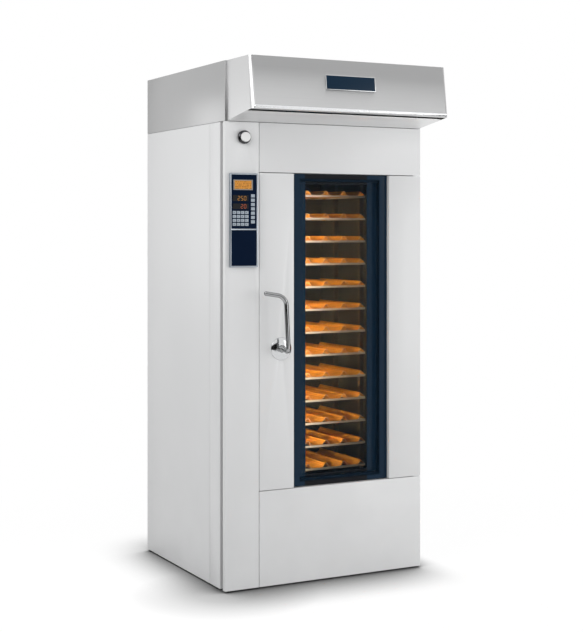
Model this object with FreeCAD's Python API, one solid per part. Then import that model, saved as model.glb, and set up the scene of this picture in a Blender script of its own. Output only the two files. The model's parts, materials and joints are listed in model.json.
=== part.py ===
import FreeCAD, Part
import math
import os

# Rack convection oven with a glazed door, a turning tray rack and a steam hood.
# Millimetres. X runs to the right, Y to the rear, Z up. X = 0 is the middle of the width, Y = 0
# the middle of the whole depth, from the lip of the hood to the drain outlet, and Z = 0 the floor.

# Overall cabinet
BODY_WIDTH = 950.0
BODY_DEPTH = 880.0
BODY_HEIGHT = 2200.0
FLOOR_GAP = 8.0
SHEET = 2.0

# Front layout
COLUMN_WIDTH = 156.0
SILL_HEIGHT = 408.0
HEADER_HEIGHT = 210.0
FACADE_GAP = 3.0
HOOD_GAP = 1.5
RETURN_DEPTH = 24.0
RECESS_INSET = 20.0
STRIP_START = 52.0
STRIP_END = 160.0
STRIP_FOLD = 14.0
SIDE_FOLD = 20.0
SEAM_GAP = 1.5

# Door, counted from the front plane to the rear
SKIN_DEPTH = 20.0
OUTER_GLASS = 6.0
CORE_DEPTH = 30.0
INNER_GLASS = 5.0
SEAL_DEPTH = 14.0
SEAL_WIDTH = 12.0
SEAL_CLEARANCE = 0.4
CORE_INSET = 2.0
HINGE_SIDE_INSET = 22.0
WINDOW_WIDTH = 470.0
GLASS_LAP = 12.0
OUTER_BORDER = 38.0
SPACER_WIDTH = 14.0
GLASS_FIT = 0.5
INNER_CLEAR = 306.0
PANEL_LAP = 10.0
RAIL_HEIGHT = 16.0

# Hinges
HINGE_INSET = 14.0
HINGE_SETBACK = 11.0
HINGE_PIN_RADIUS = 5.0
HINGE_PIN_LENGTH = 40.0
HINGE_PLATE = 2.4
HINGE_RUNNING_FIT = 0.05
HINGE_PLATE_WIDTH = 32.0
HINGE_BLOCK_REACH = 24.0
HINGE_BLOCK_END = 6.0

# Handle and latch
HANDLE_TO_WINDOW = 61.0
HANDLE_HEIGHT = 1000.0
ROSETTE_RADIUS = 48.0
ROSETTE_DEPTH = 9.0
ROSETTE_EDGE = 2.5
ROSETTE_SHOULDER = 6.0
ROSETTE_RIM = 8.0
ROSETTE_SLOPE = 20.0
LEVER_RADIUS = 9.5
LEVER_STANDOFF = 70.0
LEVER_GAP = 0.3
LEVER_DROP = 14.0
LEVER_RISE = 222.0
LEVER_LEAN = 12.0
LEVER_HOOK = 82.0
LEVER_HOOK_RISE = 14.0
LEVER_HOOK_BACK = 20.0
LEVER_BEND = 44.0
LEVER_ELBOW = 14.0
LEVER_KNEE = 12.0
NECK_LENGTH = 20.0
NECK_FLARE = 7.0
SPINDLE_RADIUS = 8.0
SPINDLE_FIT = 0.05
CRANK_RADIUS = 22.0
CRANK_THICKNESS = 6.0
CRANK_PIN_RADIUS = 4.0
CRANK_ROOM = 8.0
LATCH_TRAVEL = 20.0
BOLT_HEIGHT = 22.0
BOLT_THICKNESS = 8.0
BOLT_MARGIN = 6.0
BOLT_FIT = 0.05
SLOT_FIT = 0.6
KEEPER_FIT = 1.5
KEEPER_PLATE = 6.0
KEEPER_EDGE = 10.0

# Oven chamber
LEFT_WALL = 86.0
RIGHT_WALL = 66.0
REAR_WALL = 70.0
CHAMBER_CLEARANCE = 11.9
FLOOR_DROP = 78.0
CEILING_RISE = 50.0
PLENUM_HEIGHT = 90.0
DUCT_WIDTH = 58.0
FRAME_SHEET = 4.0
MOUTH_MARGIN = 14.0
MOUTH_LIP = 15.0
INSULATION_BOTTOM = 80.0
INSULATION_GAP = 6.0
DIFFUSER_SLOTS = 22
DIFFUSER_SLOT_HEIGHT = 10.0
DIFFUSER_SLOT_LENGTH = 190.0
DIFFUSER_MARGIN = 60.0
DIFFUSER_SPREAD = 115.0

# Welded frame
POST = 40.0
POST_WALL = 3.0
FRAME_BOTTOM = 30.0
FOOT_EDGE = 7.0
FOOT_TOP = 12.0
FOOT_TAPER = 8.0
FOOT_STEM = 8.0
SUPPORT_INSET = 165.0

# Rack and trays
TRAY_DEPTH = 400.0
TRAY_CORNER = 20.0
FIRST_TRAY_RISE = 72.0
TRAY_PITCH = 101.6
TRAY_RIM = 9.0
TRAY_RIM_WALL = 5.0
FLUTE_PITCH = 92.0
FLUTE_CHORD = 82.0
FLUTE_SAG = 26.0
FLUTE_RISE = 2.0
TRAY_SHEET = 1.2
RUNNER_SHEET = 2.0
RUNNER_LEDGE = 14.0
RUNNER_HEIGHT = 18.0
TRAY_SIDE_FIT = 1.0
RACK_POST = 20.0
RACK_POST_Y = 120.0
RACK_HEADROOM = 50.0
TURNTABLE_THICKNESS = 8.0
TURNTABLE_RIM = 6.0
TURNTABLE_LIFT = 18.0
DRIVE_RADIUS = 12.0
DRIVE_FIT = 0.05
DRIVE_HOLE = 6.0
DRIVE_END_ROOM = 10.0
BEARING_FLANGE = 44.0
BEARING_FLANGE_DEPTH = 5.0
BEARING_RADIUS = 26.0
BEARING_SHOULDER = 8.0
BEARING_HEIGHT = 14.0
GEARBOX_WIDTH = 120.0
GEARBOX_HEIGHT = 84.0
GEAR_PLATE = 6.0
GEAR_PLATE_WIDTH = 160.0
GEAR_MOTOR_RADIUS = 38.0
GEAR_MOTOR_LENGTH = 170.0
GEAR_MOTOR_CAP = 30.0

# Circulation fan
FAN_RADIUS = 180.0
FAN_EYE = 120.0
FAN_HEIGHT = 56.0
FAN_FLOOR_GAP = 12.0
FAN_BLADES = 12
FAN_SHAFT_RADIUS = 10.0
FAN_SHAFT_FIT = 0.05
FAN_SHAFT_HOLE = 4.0
FAN_SHAFT_RISE = 35.0
FAN_SHEET = 3.0
FAN_HUB_WALL = 14.0
FAN_HUB_HEIGHT = 26.0
FAN_BLADE_INSET = 22.0
FAN_BLADE_SWEEP = 24.0
GRILLE_RADIUS = 140.0
GRILLE_BAR = 8.0
GRILLE_PITCH = 28.0
HEATER_HALF = 228.0
HEATER_RADIUS = 5.0
HEATER_LEG = 25.0
HEATER_BEND = 18.0
MOTOR_RADIUS = 72.0
MOTOR_LENGTH = 165.0
MOTOR_FLANGE = 14.0
MOTOR_FLANGE_DEPTH = 10.0
MOTOR_STEP = 6.0
MOTOR_COWL = 40.0
MOTOR_DOME = 10.0
MOTOR_DOME_TAPER = 12.0
MOTOR_BORE_DEPTH = 48.0
TERMINAL_WIDTH = 64.0
TERMINAL_RISE = 40.0
TERMINAL_PROUD = 26.0
TERMINAL_SUNK = 24.0
MOTOR_PLATE = 4.0
MOTOR_PLATE_DEPTH = 200.0

# Exhaust, hood and flue
HOOD_HEIGHT = 250.0
HOOD_OVERHANG_TOP = 214.0
HOOD_OVERHANG_LOW = 242.0
HOOD_LIP_RISE = 35.0
HOOD_INSET = 8.0
CASING_FOLD = 12.0
HOOD_LIP = 20.0
HOOD_SLOT = 40.0
HOOD_UPSTAND = 3.0
HOOD_EDGE = 18.0
HOOD_BEAD = 8.0
BEAD_PROUD = 3.2
EXHAUST_INSET = 115.0
EXHAUST_RADIUS = 60.0
EXHAUST_WALL = 1.5
EXHAUST_RISE = 150.0
DAMPER_GAP = 1.0
DAMPER_SPINDLE = 4.0
DAMPER_FIT = 0.05
DAMPER_RISE = 10.0
DAMPER_REACH = 14.0
DAMPER_ARM = 36.0
DAMPER_ARM_SHEET = 5.0
DAMPER_ARM_HALF = 6.0
FLUE_RADIUS = 100.0
FLUE_HEIGHT = 50.0
FLUE_WALL = 1.5
FLUE_FLANGE = 22.0
HOOD_FAN_DEPTH = 150.0
HOOD_FAN_HUB = 34.0
HOOD_FAN_GAP = 3.0
HOOD_FAN_BLADES = 6
HOOD_FAN_WHEEL = 44.0
HOOD_FAN_INTAKE = 22.0
HOOD_FAN_MOTOR = 60.0
HOOD_FAN_SHAFT = 6.0
HOOD_FAN_BLADE = 2.4
HOOD_FAN_ANGLE = 48.0
HOOD_FAN_STRUT = 6.0

# Controls
BEZEL_LEFT = 18.0
BEZEL_RIGHT = 10.0
BEZEL_DROP = 5.0
BEZEL_HEIGHT = 390.0
BEZEL_FRAME = 6.0
BEZEL_DEPTH = 12.0
BEZEL_SPLIT = 154.0
PLATE_DEPTH = 10.0
PLATE_FIT = 0.3
DISPLAY_INSET = 12.0
DISPLAY_DEPTH = 1.2
SCREEN_INSET = 3.0
SCREEN_END = 9.0
SCREEN_TOP = 27.0
SCREEN_FOOT = 70.0
FIRST_NUMBER_TOP = 91.0
FIRST_NUMBER_FOOT = 116.0
SECOND_NUMBER_TOP = 126.0
SECOND_NUMBER_FOOT = 149.0
KEY_DEPTH = 1.0
KEY_HEIGHT = 12.0
KEY_ROW_PITCH = 16.4
KEY_GAP = 3.5
KEY_TOP = 157.0
KEY_ROWS = 4
KEY_COLUMNS = 4
KEY_STRIP_INSET = 14.0
KEY_STRIP_WIDTH = 17.0
KEY_STRIP_PITCH = 18.0
KEY_STRIP_TOP = 87.0
KEY_STRIP_COUNT = 7
CONTROL_BOX_DEPTH = 54.0
BUTTON_FROM_LEFT = 85.0
BUTTON_DROP = 65.0
BUTTON_RADIUS = 20.0
BUTTON_BEZEL_RADIUS = 28.0
BUTTON_BEZEL_DEPTH = 15.0
BUTTON_PROUD = 12.0
BUTTON_TRAVEL = 5.0
BUTTON_STEM = 7.0
BUTTON_STEM_LENGTH = 24.0
BUTTON_FIT = 0.4
BUTTON_STEM_FIT = 0.05

# Lamp
LAMP_LEG = 50.0
LAMP_END_GAP = 40.0
LENS_DEPTH = 4.0
LENS_MARGIN = 10.0

# Services at the rear
WATER_HEIGHT = 160.0
WATER_RADIUS = 13.2
WATER_THREAD = 22.0
WATER_SHOULDER = 6.0
WATER_COLLAR = 5.0
VALVE_WIDTH = 60.0
VALVE_DEPTH = 40.0
VALVE_HEIGHT = 70.0
VALVE_FOOT = 16.0
COIL_RADIUS = 16.0
COIL_HEIGHT = 36.0
WATER_PIPE = 5.0
WATER_BEND = 12.0
NOZZLE_RISE = 16.0
DRAIN_INSET = 105.0
DRAIN_HEIGHT = 150.0
DRAIN_RADIUS = 16.0
DRAIN_WALL = 1.5
DRAIN_SPIGOT = 20.0
DRAIN_BEND = 40.0
OUTLET_GAP = 2.0
OUTLET_REACH = 42.0
GLAND_FROM_LEFT = 235.0
GLAND_HEIGHT = 160.0
GLAND_BORE = 9.0
GLAND_HEX = 9.0
GLAND_NUT = 8.0
GLAND_HEAD = 10.0
GLAND_DOME = 16.0
GLAND_DOME_FOOT = 7.0
GLAND_DOME_END = 3.0
GLAND_THREAD = 4.0
HOLE_CLEARANCE = 0.5
LOUVRE_SPREAD = 200.0
LOUVRE_DROP = 120.0
LOUVRE_LENGTH = 240.0
LOUVRE_HEIGHT = 9.0
LOUVRE_PITCH = 26.0
LOUVRE_COUNT = 9

# Positions that follow from the sizes above
HALF = BODY_WIDTH / 2
FRONT = (HOOD_OVERHANG_LOW + BEAD_PROUD - OUTLET_REACH - BODY_DEPTH) / 2
REAR = FRONT + BODY_DEPTH
HOOD_BASE = BODY_HEIGHT - HOOD_HEIGHT
HEAD_HEIGHT = HOOD_BASE - HEADER_HEIGHT
PANEL_TOP = HOOD_BASE - HOOD_GAP
COLUMN_RIGHT = -HALF + COLUMN_WIDTH - FACADE_GAP / 2
DOOR_LEFT = COLUMN_RIGHT + FACADE_GAP
DOOR_RIGHT = HALF
DOOR_BOTTOM = SILL_HEIGHT + FACADE_GAP / 2
DOOR_TOP = HEAD_HEIGHT - FACADE_GAP / 2
LOWER_TOP = SILL_HEIGHT - FACADE_GAP / 2
HEADER_BOTTOM = HEAD_HEIGHT + FACADE_GAP / 2
WINDOW_MID = (DOOR_LEFT + DOOR_RIGHT) / 2
WINDOW_HALF = WINDOW_WIDTH / 2
GLASS_FACE = FRONT + SKIN_DEPTH
CORE_FRONT = GLASS_FACE + OUTER_GLASS
CORE_BACK = CORE_FRONT + CORE_DEPTH
DOOR_BACK = CORE_BACK + SHEET
FRAME_FRONT = DOOR_BACK + SEAL_DEPTH + SEAL_CLEARANCE
FRAME_BACK = FRAME_FRONT + FRAME_SHEET
CORE_LEFT = DOOR_LEFT + CORE_INSET
CORE_RIGHT = DOOR_RIGHT - HINGE_SIDE_INSET
SPACER_HALF = WINDOW_HALF - OUTER_BORDER + SPACER_WIDTH
HINGE_X = DOOR_RIGHT - HINGE_INSET
HINGE_Y = FRONT + HINGE_SETBACK
HANDLE_X = WINDOW_MID - WINDOW_HALF - HANDLE_TO_WINDOW
POST_OUTER = HALF - SHEET
POST_INNER = POST_OUTER - POST
DUCT_LEFT = -POST_OUTER + LEFT_WALL + SHEET
CHAMBER_LEFT = DUCT_LEFT + DUCT_WIDTH + SHEET
CHAMBER_RIGHT = POST_OUTER - RIGHT_WALL - SHEET
CHAMBER_REAR = REAR - SHEET - REAR_WALL - SHEET
CHAMBER_FLOOR = SILL_HEIGHT - FLOOR_DROP
CHAMBER_CEILING = HEAD_HEIGHT + CEILING_RISE
PLENUM_ROOF = CHAMBER_CEILING + PLENUM_HEIGHT
RACK_X = (CHAMBER_LEFT + CHAMBER_RIGHT) / 2
RACK_Y = (FRAME_BACK + CHAMBER_REAR) / 2
MOUTH_LEFT = DOOR_LEFT + MOUTH_MARGIN + CORE_INSET
MOUTH_RIGHT = CHAMBER_RIGHT - MOUTH_LIP
MOUTH_BOTTOM = DOOR_BOTTOM + MOUTH_MARGIN
MOUTH_TOP = DOOR_TOP - MOUTH_MARGIN
REAR_POST_FRONT = REAR - SHEET - POST
SUPPORT_TOP = CHAMBER_FLOOR - SHEET - INSULATION_BOTTOM
SUPPORT_SPREAD = CHAMBER_REAR - RACK_Y - SUPPORT_INSET
CRANK_ARM = LATCH_TRAVEL / math.sqrt(2.0)
BOLT_FRONT = CORE_FRONT + CORE_DEPTH / 2
BOLT_LOW = HANDLE_HEIGHT - CRANK_ARM - CRANK_PIN_RADIUS - BOLT_MARGIN
EXHAUST_X = CHAMBER_RIGHT - EXHAUST_INSET
EXHAUST_Y = CHAMBER_REAR - EXHAUST_INSET
WATER_X = DUCT_LEFT + DUCT_WIDTH / 2
DRAIN_X = CHAMBER_RIGHT - DRAIN_INSET
GLAND_X = -HALF + GLAND_FROM_LEFT
LAMP_BOTTOM = MOUTH_BOTTOM + LAMP_END_GAP
LAMP_TOP = MOUTH_TOP - LAMP_END_GAP
BEZEL_WIDTH = COLUMN_RIGHT + HALF - BEZEL_LEFT - BEZEL_RIGHT
BEZEL_BOTTOM = HEAD_HEIGHT - BEZEL_DROP - BEZEL_HEIGHT
BUTTON_X = -HALF + BUTTON_FROM_LEFT
BUTTON_HEIGHT = HOOD_BASE - BUTTON_DROP
TURNTABLE_BOTTOM = CHAMBER_FLOOR + TURNTABLE_LIFT
TURNTABLE_TOP = TURNTABLE_BOTTOM + TURNTABLE_THICKNESS

# The trays fill the circle in which the rack can turn
TURN_RADIUS = min(CHAMBER_RIGHT - RACK_X, CHAMBER_REAR - RACK_Y) - CHAMBER_CLEARANCE
TRAY_REACH = math.sqrt((TURN_RADIUS - TRAY_CORNER) ** 2 - (TRAY_DEPTH / 2 - TRAY_CORNER) ** 2)
TRAY_WIDTH = 2 * (TRAY_REACH + TRAY_CORNER)
FLUTE_COUNT = int((TRAY_WIDTH - 2 * TRAY_RIM_WALL - FLUTE_CHORD / 4) // FLUTE_PITCH)
RACK_TOP = CHAMBER_CEILING - RACK_HEADROOM
TRAY_FIRST = TURNTABLE_TOP + FIRST_TRAY_RISE
TRAY_COUNT = 1 + int((RACK_TOP - RACK_POST - FLUTE_SAG - TRAY_FIRST) // TRAY_PITCH)
RACK_INNER = TRAY_WIDTH / 2 + TRAY_SIDE_FIT + RUNNER_SHEET
RACK_OUTER = RACK_INNER + RACK_POST
FAN_BOTTOM = CHAMBER_CEILING + SHEET + FAN_FLOOR_GAP
FAN_TOP = FAN_BOTTOM + FAN_HEIGHT


def vec(x, y, z):
    return FreeCAD.Vector(x, y, z)


def block(x0, x1, y0, y1, z0, z1):
    """Box between two corners."""
    return Part.makeBox(x1 - x0, y1 - y0, z1 - z0, vec(x0, y0, z0))


def rod(radius, length, base, direction):
    """Cylinder from a base point along a direction."""
    return Part.makeCylinder(radius, length, base, direction)


def tube(outer, inner, length, base, direction):
    """Hollow cylinder."""
    return rod(outer, length, base, direction).cut(rod(inner, length, base, direction))


def prism(points, direction):
    """Flat outline, pushed along a direction."""
    wire = Part.makePolygon(points + [points[0]])
    return Part.Face(wire).extrude(direction)


def turned(outline, base, axis):
    """Revolve (radius, along) pairs round an axis that starts at base."""
    side = vec(0, 1, 0).cross(axis)
    if side.Length < 0.5:
        side = vec(1, 0, 0)
    points = [base + side * radius + axis * along for radius, along in outline]
    wire = Part.makePolygon(points + [points[0]])
    return Part.Face(wire).revolve(base, axis, 360)


def rounded_block(x0, x1, y0, y1, z0, z1, radius):
    """Box with rounded upright edges."""
    body = block(x0, x1, y0, y1, z0, z1)
    upright = [edge for edge in body.Edges if abs(edge.tangentAt(edge.FirstParameter).z) > 0.99]
    return body.makeFillet(radius, upright)


def rounded_path(points, bends):
    """Wire through the points with an arc at every inner point, all of one radius or each of its own."""
    edges = []
    start = points[0]
    radii = bends if isinstance(bends, list) else [bends] * (len(points) - 2)
    for before, corner, after, radius in zip(points[:-2], points[1:-1], points[2:], radii):
        back = (before - corner).normalize()
        ahead = (after - corner).normalize()
        half = back.getAngle(ahead) / 2
        reach = radius / math.tan(half)
        first = corner + back * reach
        last = corner + ahead * reach
        inward = (back + ahead).normalize()
        middle = corner + inward * (radius / math.sin(half) - radius)
        edges.append(Part.LineSegment(start, first).toShape())
        edges.append(Part.Arc(first, middle, last).toShape())
        start = last
    edges.append(Part.LineSegment(start, points[-1]).toShape())
    return Part.Wire(edges)


def bent_bar(points, bends, radius):
    """Round bar along a path with bends."""
    path = rounded_path(points, bends)
    heading = points[1] - points[0]
    ring = Part.Wire(Part.Circle(points[0], heading, radius).toShape())
    return path.makePipeShell([ring], True, False)


def pan(x0, x1, y0, y1, z0, z1):
    """Folded sheet tray that opens to the rear."""
    inside = block(x0 + SHEET, x1 - SHEET, y0 + SHEET, y1 + 1, z0 + SHEET, z1 - SHEET)
    return block(x0, x1, y0, y1, z0, z1).cut(inside)


def hollow_bar(x0, x1, y0, y1, z0, z1, along):
    """Square tube whose bore runs along X, Y or Z."""
    wall = {"x": (0, POST_WALL, POST_WALL), "y": (POST_WALL, 0, POST_WALL), "z": (POST_WALL, POST_WALL, 0)}
    wx, wy, wz = wall[along]
    bore = block(x0 + wx, x1 - wx, y0 + wy, y1 - wy, z0 + wz, z1 - wz)
    return block(x0, x1, y0, y1, z0, z1).cut(bore)


# Cabinet


def levelling_feet():
    """Four round feet under the base rails."""
    pad = POST * 0.5
    outline = [(0, 0), (pad, 0), (pad, FOOT_EDGE), (pad - FOOT_TAPER, FOOT_TOP), (FOOT_STEM, FOOT_TOP),
               (FOOT_STEM, FRAME_BOTTOM), (0, FRAME_BOTTOM)]
    x = POST_INNER + POST / 2
    spots = [(sx * x, y) for sx in (-1, 1) for y in (FRAME_BACK + POST / 2, REAR_POST_FRONT + POST / 2)]
    return [turned(outline, vec(px, py, 0), vec(0, 0, 1)) for px, py in spots]


def main_frame():
    """Posts at the corners, base rails, top rails and the rails that carry the chamber."""
    bars = []
    front0, front1 = FRAME_BACK, FRAME_BACK + POST
    rear0, rear1 = REAR_POST_FRONT, REAR_POST_FRONT + POST
    for x0 in (-POST_OUTER, POST_INNER):
        for y0 in (front0, rear0):
            bars.append(hollow_bar(x0, x0 + POST, y0, y0 + POST, FRAME_BOTTOM, HOOD_BASE, "z"))
        for z0 in (FRAME_BOTTOM, SUPPORT_TOP - POST, HOOD_BASE - POST):
            bars.append(hollow_bar(x0, x0 + POST, front1, rear0, z0, z0 + POST, "y"))
    for y0, y1 in ((front0, front1), (rear0, rear1)):
        for z0 in (FRAME_BOTTOM, HOOD_BASE - POST):
            bars.append(hollow_bar(-POST_INNER, POST_INNER, y0, y1, z0, z0 + POST, "x"))
    for y0 in (RACK_Y - SUPPORT_SPREAD - POST / 2, RACK_Y + SUPPORT_SPREAD - POST / 2):
        bars.append(hollow_bar(-POST_INNER, POST_INNER, y0, y0 + POST, SUPPORT_TOP - POST, SUPPORT_TOP, "x"))
    return bars


def side_panels():
    """Left and right side panels with a fold round the rear post."""
    panels = []
    y0 = FRONT + STRIP_END + SEAM_GAP
    for side in (-1, 1):
        outline = [(0, y0), (SHEET, y0), (SHEET, REAR - SHEET), (SIDE_FOLD, REAR - SHEET),
                   (SIDE_FOLD, REAR), (0, REAR)]
        points = [vec(side * (HALF - inset), y, FLOOR_GAP) for inset, y in outline]
        panels.append(prism(points, vec(0, 0, PANEL_TOP - FLOOR_GAP)))
    return panels


def corner_strips():
    """Narrow folded strips between the facade and the side panels."""
    strips = []
    y0 = FRONT + STRIP_START
    y1 = FRONT + STRIP_END
    for side in (-1, 1):
        outline = [(0, y0), (STRIP_FOLD, y0), (STRIP_FOLD, y0 + SHEET), (SHEET, y0 + SHEET),
                   (SHEET, y1), (0, y1)]
        points = [vec(side * (HALF - inset), y, FLOOR_GAP) for inset, y in outline]
        strips.append(prism(points, vec(0, 0, PANEL_TOP - FLOOR_GAP)))
    return strips


def rear_panel():
    """Flat rear panel with two groups of vent slots and holes for the services."""
    edge = HALF - SIDE_FOLD - SEAM_GAP
    panel = block(-edge, edge, REAR - SHEET, REAR, FLOOR_GAP, PANEL_TOP)
    cuts = []
    for middle in (-LOUVRE_SPREAD, LOUVRE_SPREAD):
        for step in range(LOUVRE_COUNT):
            z0 = HOOD_BASE - LOUVRE_DROP - step * LOUVRE_PITCH
            x0 = middle - LOUVRE_LENGTH / 2
            cuts.append(block(x0, x0 + LOUVRE_LENGTH, REAR - 5, REAR + 5, z0, z0 + LOUVRE_HEIGHT))
    holes = [(WATER_RADIUS - 1, WATER_X, WATER_HEIGHT), (DRAIN_RADIUS, DRAIN_X, DRAIN_HEIGHT),
             (GLAND_BORE + GLAND_THREAD, GLAND_X, GLAND_HEIGHT)]
    for radius, x, z in holes:
        cuts.append(rod(radius + HOLE_CLEARANCE, 20, vec(x, REAR - 10, z), vec(0, 1, 0)))
    return [panel.cut(Part.makeCompound(cuts))]


def control_column():
    """Tall folded sheet left of the door that carries the controls."""
    left = -HALF
    inner = left + RECESS_INSET
    fold = FRONT + RETURN_DEPTH
    outline = [(left, FRONT), (COLUMN_RIGHT, FRONT), (COLUMN_RIGHT, FRAME_FRONT),
               (COLUMN_RIGHT - SHEET, FRAME_FRONT), (COLUMN_RIGHT - SHEET, FRONT + SHEET),
               (left + SHEET, FRONT + SHEET), (left + SHEET, fold - SHEET),
               (inner + SHEET, fold - SHEET), (inner + SHEET, FRAME_FRONT),
               (inner, FRAME_FRONT), (inner, fold), (left, fold)]
    points = [vec(x, y, FLOOR_GAP) for x, y in outline]
    sheet = prism(points, vec(0, 0, PANEL_TOP - FLOOR_GAP))
    x0 = left + BEZEL_LEFT + 2 * BEZEL_FRAME
    x1 = left + BEZEL_LEFT + BEZEL_WIDTH - 2 * BEZEL_FRAME
    z0 = BEZEL_BOTTOM + 2 * BEZEL_FRAME
    z1 = BEZEL_BOTTOM + BEZEL_HEIGHT - 2 * BEZEL_FRAME
    cutout = block(x0, x1, FRONT - 1, FRONT + SHEET + 1, z0, z1)
    stem = rod(BUTTON_STEM + BUTTON_STEM_FIT, 6, vec(BUTTON_X, FRONT - 2, BUTTON_HEIGHT), vec(0, 1, 0))
    return [sheet.cut([cutout, stem, keeper_hole()])]


def facade_pan(z0, z1):
    """Front sheet with short returns and two deep flanges that meet the front frame."""
    short = pan(DOOR_LEFT, DOOR_RIGHT, FRONT, FRONT + RETURN_DEPTH, z0, z1)
    deep0 = block(CORE_LEFT, CORE_RIGHT, FRONT + SHEET, FRAME_FRONT, z0, z0 + SHEET)
    deep1 = block(CORE_LEFT, CORE_RIGHT, FRONT + SHEET, FRAME_FRONT, z1 - SHEET, z1)
    fold = FRONT + RETURN_DEPTH
    shelf = block(CORE_RIGHT - SHEET, DOOR_RIGHT - SHEET, fold - SHEET, fold, z0, z1)
    recess = block(CORE_RIGHT - SHEET, CORE_RIGHT, fold, FRAME_FRONT, z0, z1)
    return short.fuse([deep0, deep1, shelf, recess]).removeSplitter()


def header_panel():
    return [facade_pan(HEADER_BOTTOM, PANEL_TOP)]


def lower_front_panel():
    return [facade_pan(FLOOR_GAP, LOWER_TOP)]


def front_frame():
    """Four strips round the mouth of the chamber."""
    left = DUCT_LEFT - SHEET
    strips = [block(-POST_OUTER, POST_OUTER, FRAME_FRONT, FRAME_BACK, FRAME_BOTTOM, MOUTH_BOTTOM)]
    strips.append(block(-POST_OUTER, POST_OUTER, FRAME_FRONT, FRAME_BACK, MOUTH_TOP, PANEL_TOP))
    strips.append(block(left, MOUTH_LEFT, FRAME_FRONT, FRAME_BACK, MOUTH_BOTTOM, MOUTH_TOP))
    strips.append(block(MOUTH_RIGHT, POST_OUTER, FRAME_FRONT, FRAME_BACK, MOUTH_BOTTOM, MOUTH_TOP))
    return strips


# Oven chamber


def air_diffuser():
    """Left chamber wall with rows of air slots in front of the duct."""
    x0, x1 = CHAMBER_LEFT - SHEET, CHAMBER_LEFT
    wall = block(x0, x1, FRAME_BACK, CHAMBER_REAR, CHAMBER_FLOOR, CHAMBER_CEILING)
    pitch = (CHAMBER_CEILING - CHAMBER_FLOOR - 2 * DIFFUSER_MARGIN) / DIFFUSER_SLOTS
    cuts = []
    for row in range(DIFFUSER_SLOTS):
        z0 = CHAMBER_FLOOR + DIFFUSER_MARGIN + row * pitch + pitch / 2
        for middle in (RACK_Y - DIFFUSER_SPREAD, RACK_Y + DIFFUSER_SPREAD):
            y0 = middle - DIFFUSER_SLOT_LENGTH / 2
            y1 = middle + DIFFUSER_SLOT_LENGTH / 2
            cuts.append(block(x0 - 1, x1 + 1, y0, y1, z0, z0 + DIFFUSER_SLOT_HEIGHT))
    return [wall.cut(Part.makeCompound(cuts))]


def air_duct():
    """Duct wall behind the diffuser and the roof of the fan plenum."""
    low = CHAMBER_FLOOR - SHEET
    high = PLENUM_ROOF + SHEET
    wall = block(DUCT_LEFT - SHEET, DUCT_LEFT, FRAME_BACK, CHAMBER_REAR + SHEET, low, high)
    roof = block(DUCT_LEFT, CHAMBER_RIGHT, FRAME_BACK, CHAMBER_REAR, PLENUM_ROOF, high)
    shaft = rod(FAN_SHAFT_RADIUS + FAN_SHAFT_HOLE, 10, vec(RACK_X, RACK_Y, PLENUM_ROOF - 4), vec(0, 0, 1))
    vent = rod(EXHAUST_RADIUS - EXHAUST_WALL, 10, vec(EXHAUST_X, EXHAUST_Y, PLENUM_ROOF - 4), vec(0, 0, 1))
    return [wall, roof.cut([shaft, vent])]


def chamber_walls():
    """Right wall and rear wall of the chamber."""
    low = CHAMBER_FLOOR - SHEET
    high = PLENUM_ROOF + SHEET
    right = block(CHAMBER_RIGHT, CHAMBER_RIGHT + SHEET, FRAME_BACK, CHAMBER_REAR + SHEET, low, high)
    rear = block(DUCT_LEFT, CHAMBER_RIGHT, CHAMBER_REAR, CHAMBER_REAR + SHEET, low, high)
    return [right, rear]


def chamber_ceiling():
    """Ceiling plate with a barred intake for the fan."""
    left = CHAMBER_LEFT - SHEET
    plate = block(left, CHAMBER_RIGHT, FRAME_BACK, CHAMBER_REAR, CHAMBER_CEILING, CHAMBER_CEILING + SHEET)
    eye = rod(GRILLE_RADIUS, 10, vec(RACK_X, RACK_Y, CHAMBER_CEILING - 4), vec(0, 0, 1))
    bars = []
    steps = int(GRILLE_RADIUS // GRILLE_PITCH)
    low, high = CHAMBER_CEILING - 5, CHAMBER_CEILING + 9
    for step in range(-steps, steps + 1):
        y = RACK_Y + step * GRILLE_PITCH
        x0 = RACK_X - GRILLE_RADIUS - 5
        x1 = RACK_X + GRILLE_RADIUS + 5
        bars.append(block(x0, x1, y - GRILLE_BAR / 2, y + GRILLE_BAR / 2, low, high))
    return [plate.cut(eye.cut(bars))]


def chamber_floor():
    """Floor plate with holes for the drive, the drain and the water nozzle."""
    plate = block(DUCT_LEFT, CHAMBER_RIGHT, FRAME_BACK, CHAMBER_REAR, CHAMBER_FLOOR - SHEET, CHAMBER_FLOOR)
    drive = rod(DRIVE_RADIUS + DRIVE_HOLE, 10, vec(RACK_X, RACK_Y, CHAMBER_FLOOR - 6), vec(0, 0, 1))
    drain = rod(DRAIN_RADIUS - DRAIN_WALL, 10, vec(DRAIN_X, EXHAUST_Y, CHAMBER_FLOOR - 6), vec(0, 0, 1))
    nozzle = rod(WATER_PIPE + HOLE_CLEARANCE, 10, vec(WATER_X, EXHAUST_Y, CHAMBER_FLOOR - 6), vec(0, 0, 1))
    return [plate.cut([drive, drain, nozzle])]


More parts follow.
